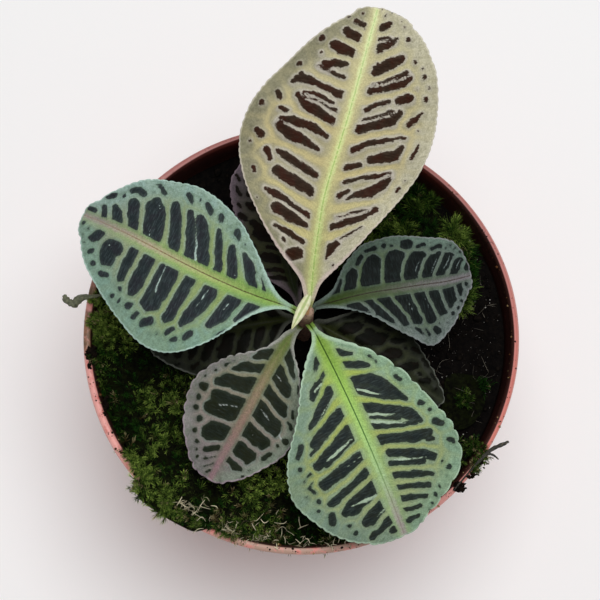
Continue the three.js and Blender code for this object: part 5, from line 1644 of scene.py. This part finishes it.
# Heaps are a place, a spread each way and a count. Rim straws and rim crumbs are angles and a count, and
# roots are a count, two radii and two angles.
litter = {
    "left": {"points": [(-53.5, 10.6, 96), (-57.5, 10, 96.1), (-61, 9.4, 96.3), (-63, 7.9, 96.1),
                        (-64.6, 8.6, 96.3), (-65.8, 10.2, 96.2)],
             "radii": [0.35, 0.4, 0.65, 1.15, 1.1, 0.85, 0.95, 0.5]},
    "right": {"points": [(41, -43, 95.9), (46.3, -37, 96), (51.2, -32.2, 96.3), (56.2, -29.8, 97.4)],
              "radii": [0.15, 0.2, 0.25, 0.45, 0.5, 0.55, 0.3]},
    "heaps": ((-57.9, -6.2, 1.1, 1.5, 150), (42.8, -41.8, 1.3, 1, 110), (48, -35.6, 1.2, 0.8, 50),
              (-44.5, -38.5, 0.8, 0.6, 24), (-53.4, -19.4, 0.6, 1.6, 40), (46.6, -38.6, 0.8, 0.8, 30)),
    "fork": {"points": [(50.4, -33, 96.3), (52, -33.4, 96.5), (53.4, -34.6, 96.6)],
             "radii": [0.35, 0.3, 0.15]},
    "straws": 110, "strawBand": 36.3, "rimStraws": (238, 293, 60), "rimStrawRadii": (55.6, 59.4),
    "roots": (60, 34, 55, -45, 32),
    "rimCrumbs": ((300, 332, 60), (212, 290, 200), (188, 214, 60), (-30, 45, 90)),
}


def makeLitter():
    for name in ("left", "right"):
        twig = litter[name]
        tubes = [tubeMesh(smoothPath(twig["points"], 50), twig["radii"], 18, 0.35, 4)]
        if name == "right":
            fork = litter["fork"]
            tubes.append(tubeMesh(smoothPath(fork["points"], 20), fork["radii"], 12, 0.3, 6))
        looks = ("4e5040", "6e7058", "6e7058") if name == "left" else ("1c1a15", "3c3a31", "3c3a31")
        bark = barkMaterial("twigBark_" + name, *looks)
        piece = tubesPiece("twig_" + name + "_bark", tubes, bark)
        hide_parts("twig_" + name)

    draw = np.random.RandomState(17)
    patch = mossPatches[0]
    fibres = []
    for k in range(litter["straws"]):
        place = draw.choice(len(patch["dry"]))
        x, y, radius = patch["dry"][place]
        x, y = x + radius * draw.normal(0, 0.7), y + radius * draw.normal(0, 0.5)
        turn = (math.degrees(math.atan2(y, x)) % 360 - patch["from"]) / (patch["to"] - patch["from"])
        row = (math.hypot(x, y) - patch["inner"]) / litter["strawBand"] * patch["rows"]
        surface = mossSurface(patch, np.array(turn * patch["columns"]), np.array(row))
        x, y, low, high = (float(v) for v in surface)
        fibres.append(fibre(draw, (x, y, high + 0.6), draw.uniform(0.9, 3.8), draw.uniform(0.05, 0.13), k))
    for k, turn in enumerate(np.radians(draw.uniform(*litter["rimStraws"]))):
        radius = draw.uniform(*litter["rimStrawRadii"])
        place = (radius * math.cos(turn), radius * math.sin(turn), 95.6)
        fibres.append(fibre(draw, place, draw.uniform(0.8, 2.2), draw.uniform(0.06, 0.15), k + 400))
    tubesPiece("straw_fibres", fibres, strawMaterial("straw", "4c432a", "ece2c0"),
               draw.rand(len(fibres)))

    fibres = []
    x, y = scatterInPot(draw, *litter["roots"])
    for k, place in enumerate(zip(x, y, soilHeight(x, y) + 0.6)):
        fibres.append(fibre(draw, place, draw.uniform(1.5, 6), draw.uniform(0.035, 0.06), k + 200))
    tubesPiece("root_fibres", fibres, strawMaterial("fineRoots", "3a352c", "948c7c"),
               draw.rand(len(fibres)) ** 2)

    # crumbs along the rim, and heaps of peat on it
    angle = np.radians(np.concatenate([draw.uniform(*stretch) for stretch in litter["rimCrumbs"]]))
    radius = 57.8 + 2.3 * draw.rand(len(angle)) ** 1.6
    size = draw.gamma(2.0, 0.07, len(angle)).clip(0.05, 0.42)
    z = pot["height"] + size * 0.3 - np.abs(radius - 59) * 0.25
    centres = np.stack([radius * np.cos(angle), radius * np.sin(angle), z], -1)
    lumpsPiece("rim_crumbs", centres, size, crumbMaterial(), 18)
    centres, sizes = [], []
    for x, y, spreadX, spreadY, count in litter["heaps"]:
        away = draw.normal(0, 0.6, (count, 3)) * (spreadX, spreadY, 0)
        away[:, 2] = np.abs(draw.normal(0, 0.5, count)) * np.exp(-(away[:, :2] ** 2).sum(1))
        centres.append(np.array([x, y, 95.1]) + away)
        sizes.append(draw.gamma(3, 0.09, count).clip(0.1, 0.6))
    peat = soilMaterial("rimPeat", "1c150f", "080605")
    lumpsPiece("rim_peat", np.concatenate(centres), np.concatenate(sizes), peat, 19, long=1.6)


# A thin, slightly bent fibre that lies at a place.
def fibre(draw, place, long, thick, seed):
    turn = draw.uniform(0, 2 * math.pi)
    reach = np.array([math.cos(turn), math.sin(turn), draw.normal(0, 0.12)]) * long / 2
    middle = np.array(place) + draw.normal(0, 0.16, 3) * long + (0, 0, 0.2)
    path = smoothPath([place - reach, middle, place + reach], 7)
    return tubeMesh(path, [thick * 0.6, thick, thick * 0.4], 5, 0.1, seed + 2)


def crumbMaterial():
    material, tree = newMaterial("rimCrumbs")
    tone = attribute(tree, "tone")
    grain = noise(objectPlace(tree), 1600.0, 4.0)
    brown = blend(ramp(tone, 0.3, 0.8), "17110c", "5c3a1e")
    mixed = blend(ramp(tone, 0.86, 0.94), brown, "b09a70")
    colour = blend(grain * 0.5, mixed, "241a12")
    return finish(material, colour, grain, (0.65, 0.3), (0.5, 0.0004), 0.1)


def strawMaterial(name, dark, light):
    material, tree = newMaterial(name)
    tone = attribute(tree, "tone")
    grain = noise(objectPlace(tree), 2000.0, 3.0)
    mixed = blend(tone, dark, light)
    colour = blend(grain * 0.3, mixed, dark)
    return finish(material, colour, grain, (0.55, 0.3), (0.3, 0.0002))


makeLitter()
print("litter made")


# The lamp's size, place and aim are in metres, and the floor and the camera in millimetres.
studio = {"floorHalf": 3000, "topPower": 6.5, "topSize": 0.6, "topPlace": (0.06, 0.13, 1.0),
          "topAim": (0, 0, 0.1), "sky": 0.34,
          "paper": 0.97, "lens": 91.14, "sensor": 36, "cameraPlace": (-15.163, -71.338, 508.619),
          "cameraAim": (-0.636, 9.572, 95)}


def makeFloor():
    half = studio["floorHalf"]
    corners = [(-half, -half, 0), (half, -half, 0), (half, half, 0), (-half, half, 0)]
    material, tree = newMaterial("floorPaper")
    paper = (studio["paper"],) * 3 + (1,)
    setInputs(tree.nodes["Principled BSDF"], {"Base Color": paper, "Roughness": 0.9})
    piece = meshPiece("floor", corners, [np.array([[0, 1, 2, 3]])], None, [material], smooth=False)


def aimedAt(place, target, up):
    forward = (Vector(target) - Vector(place)).normalized()
    right = forward.cross(Vector(up)).normalized()
    top = right.cross(forward)
    turn = Matrix((right, top, -forward)).transposed().to_4x4()
    return Matrix.Translation(place) @ turn


def areaLight(name, place, target, size, power):
    light = bpy.data.lights.new(name, "AREA")
    light.shape, light.size, light.energy = "DISK", size, power
    lamp = bpy.data.objects.new(name, light)
    lamp.matrix_world = aimedAt(place, target, (0, 1, 0.01))
    bpy.context.scene.collection.objects.link(lamp)


def makeStudio():
    areaLight("windowLight", studio["topPlace"], studio["topAim"], studio["topSize"], studio["topPower"])
    world = bpy.data.worlds.new("studioSky")
    world.use_nodes = True
    setInputs(world.node_tree.nodes["Background"], {"Color": (1, 1, 1, 1), "Strength": studio["sky"]})
    scene = bpy.context.scene
    scene.world = world
    scene.view_settings.view_transform = "Standard"
    lens = bpy.data.cameras.new("camera")
    lens.lens, lens.sensor_width = studio["lens"], studio["sensor"]
    lens.clip_start, lens.clip_end = 0.01, 10
    camera = bpy.data.objects.new("camera", lens)
    place, aim = Vector(studio["cameraPlace"]) * mm, Vector(studio["cameraAim"]) * mm
    camera.matrix_world = aimedAt(place, aim, (0, 1, 0))
    scene.collection.objects.link(camera)
    scene.camera = camera


makeFloor()
makeStudio()
print("studio made")
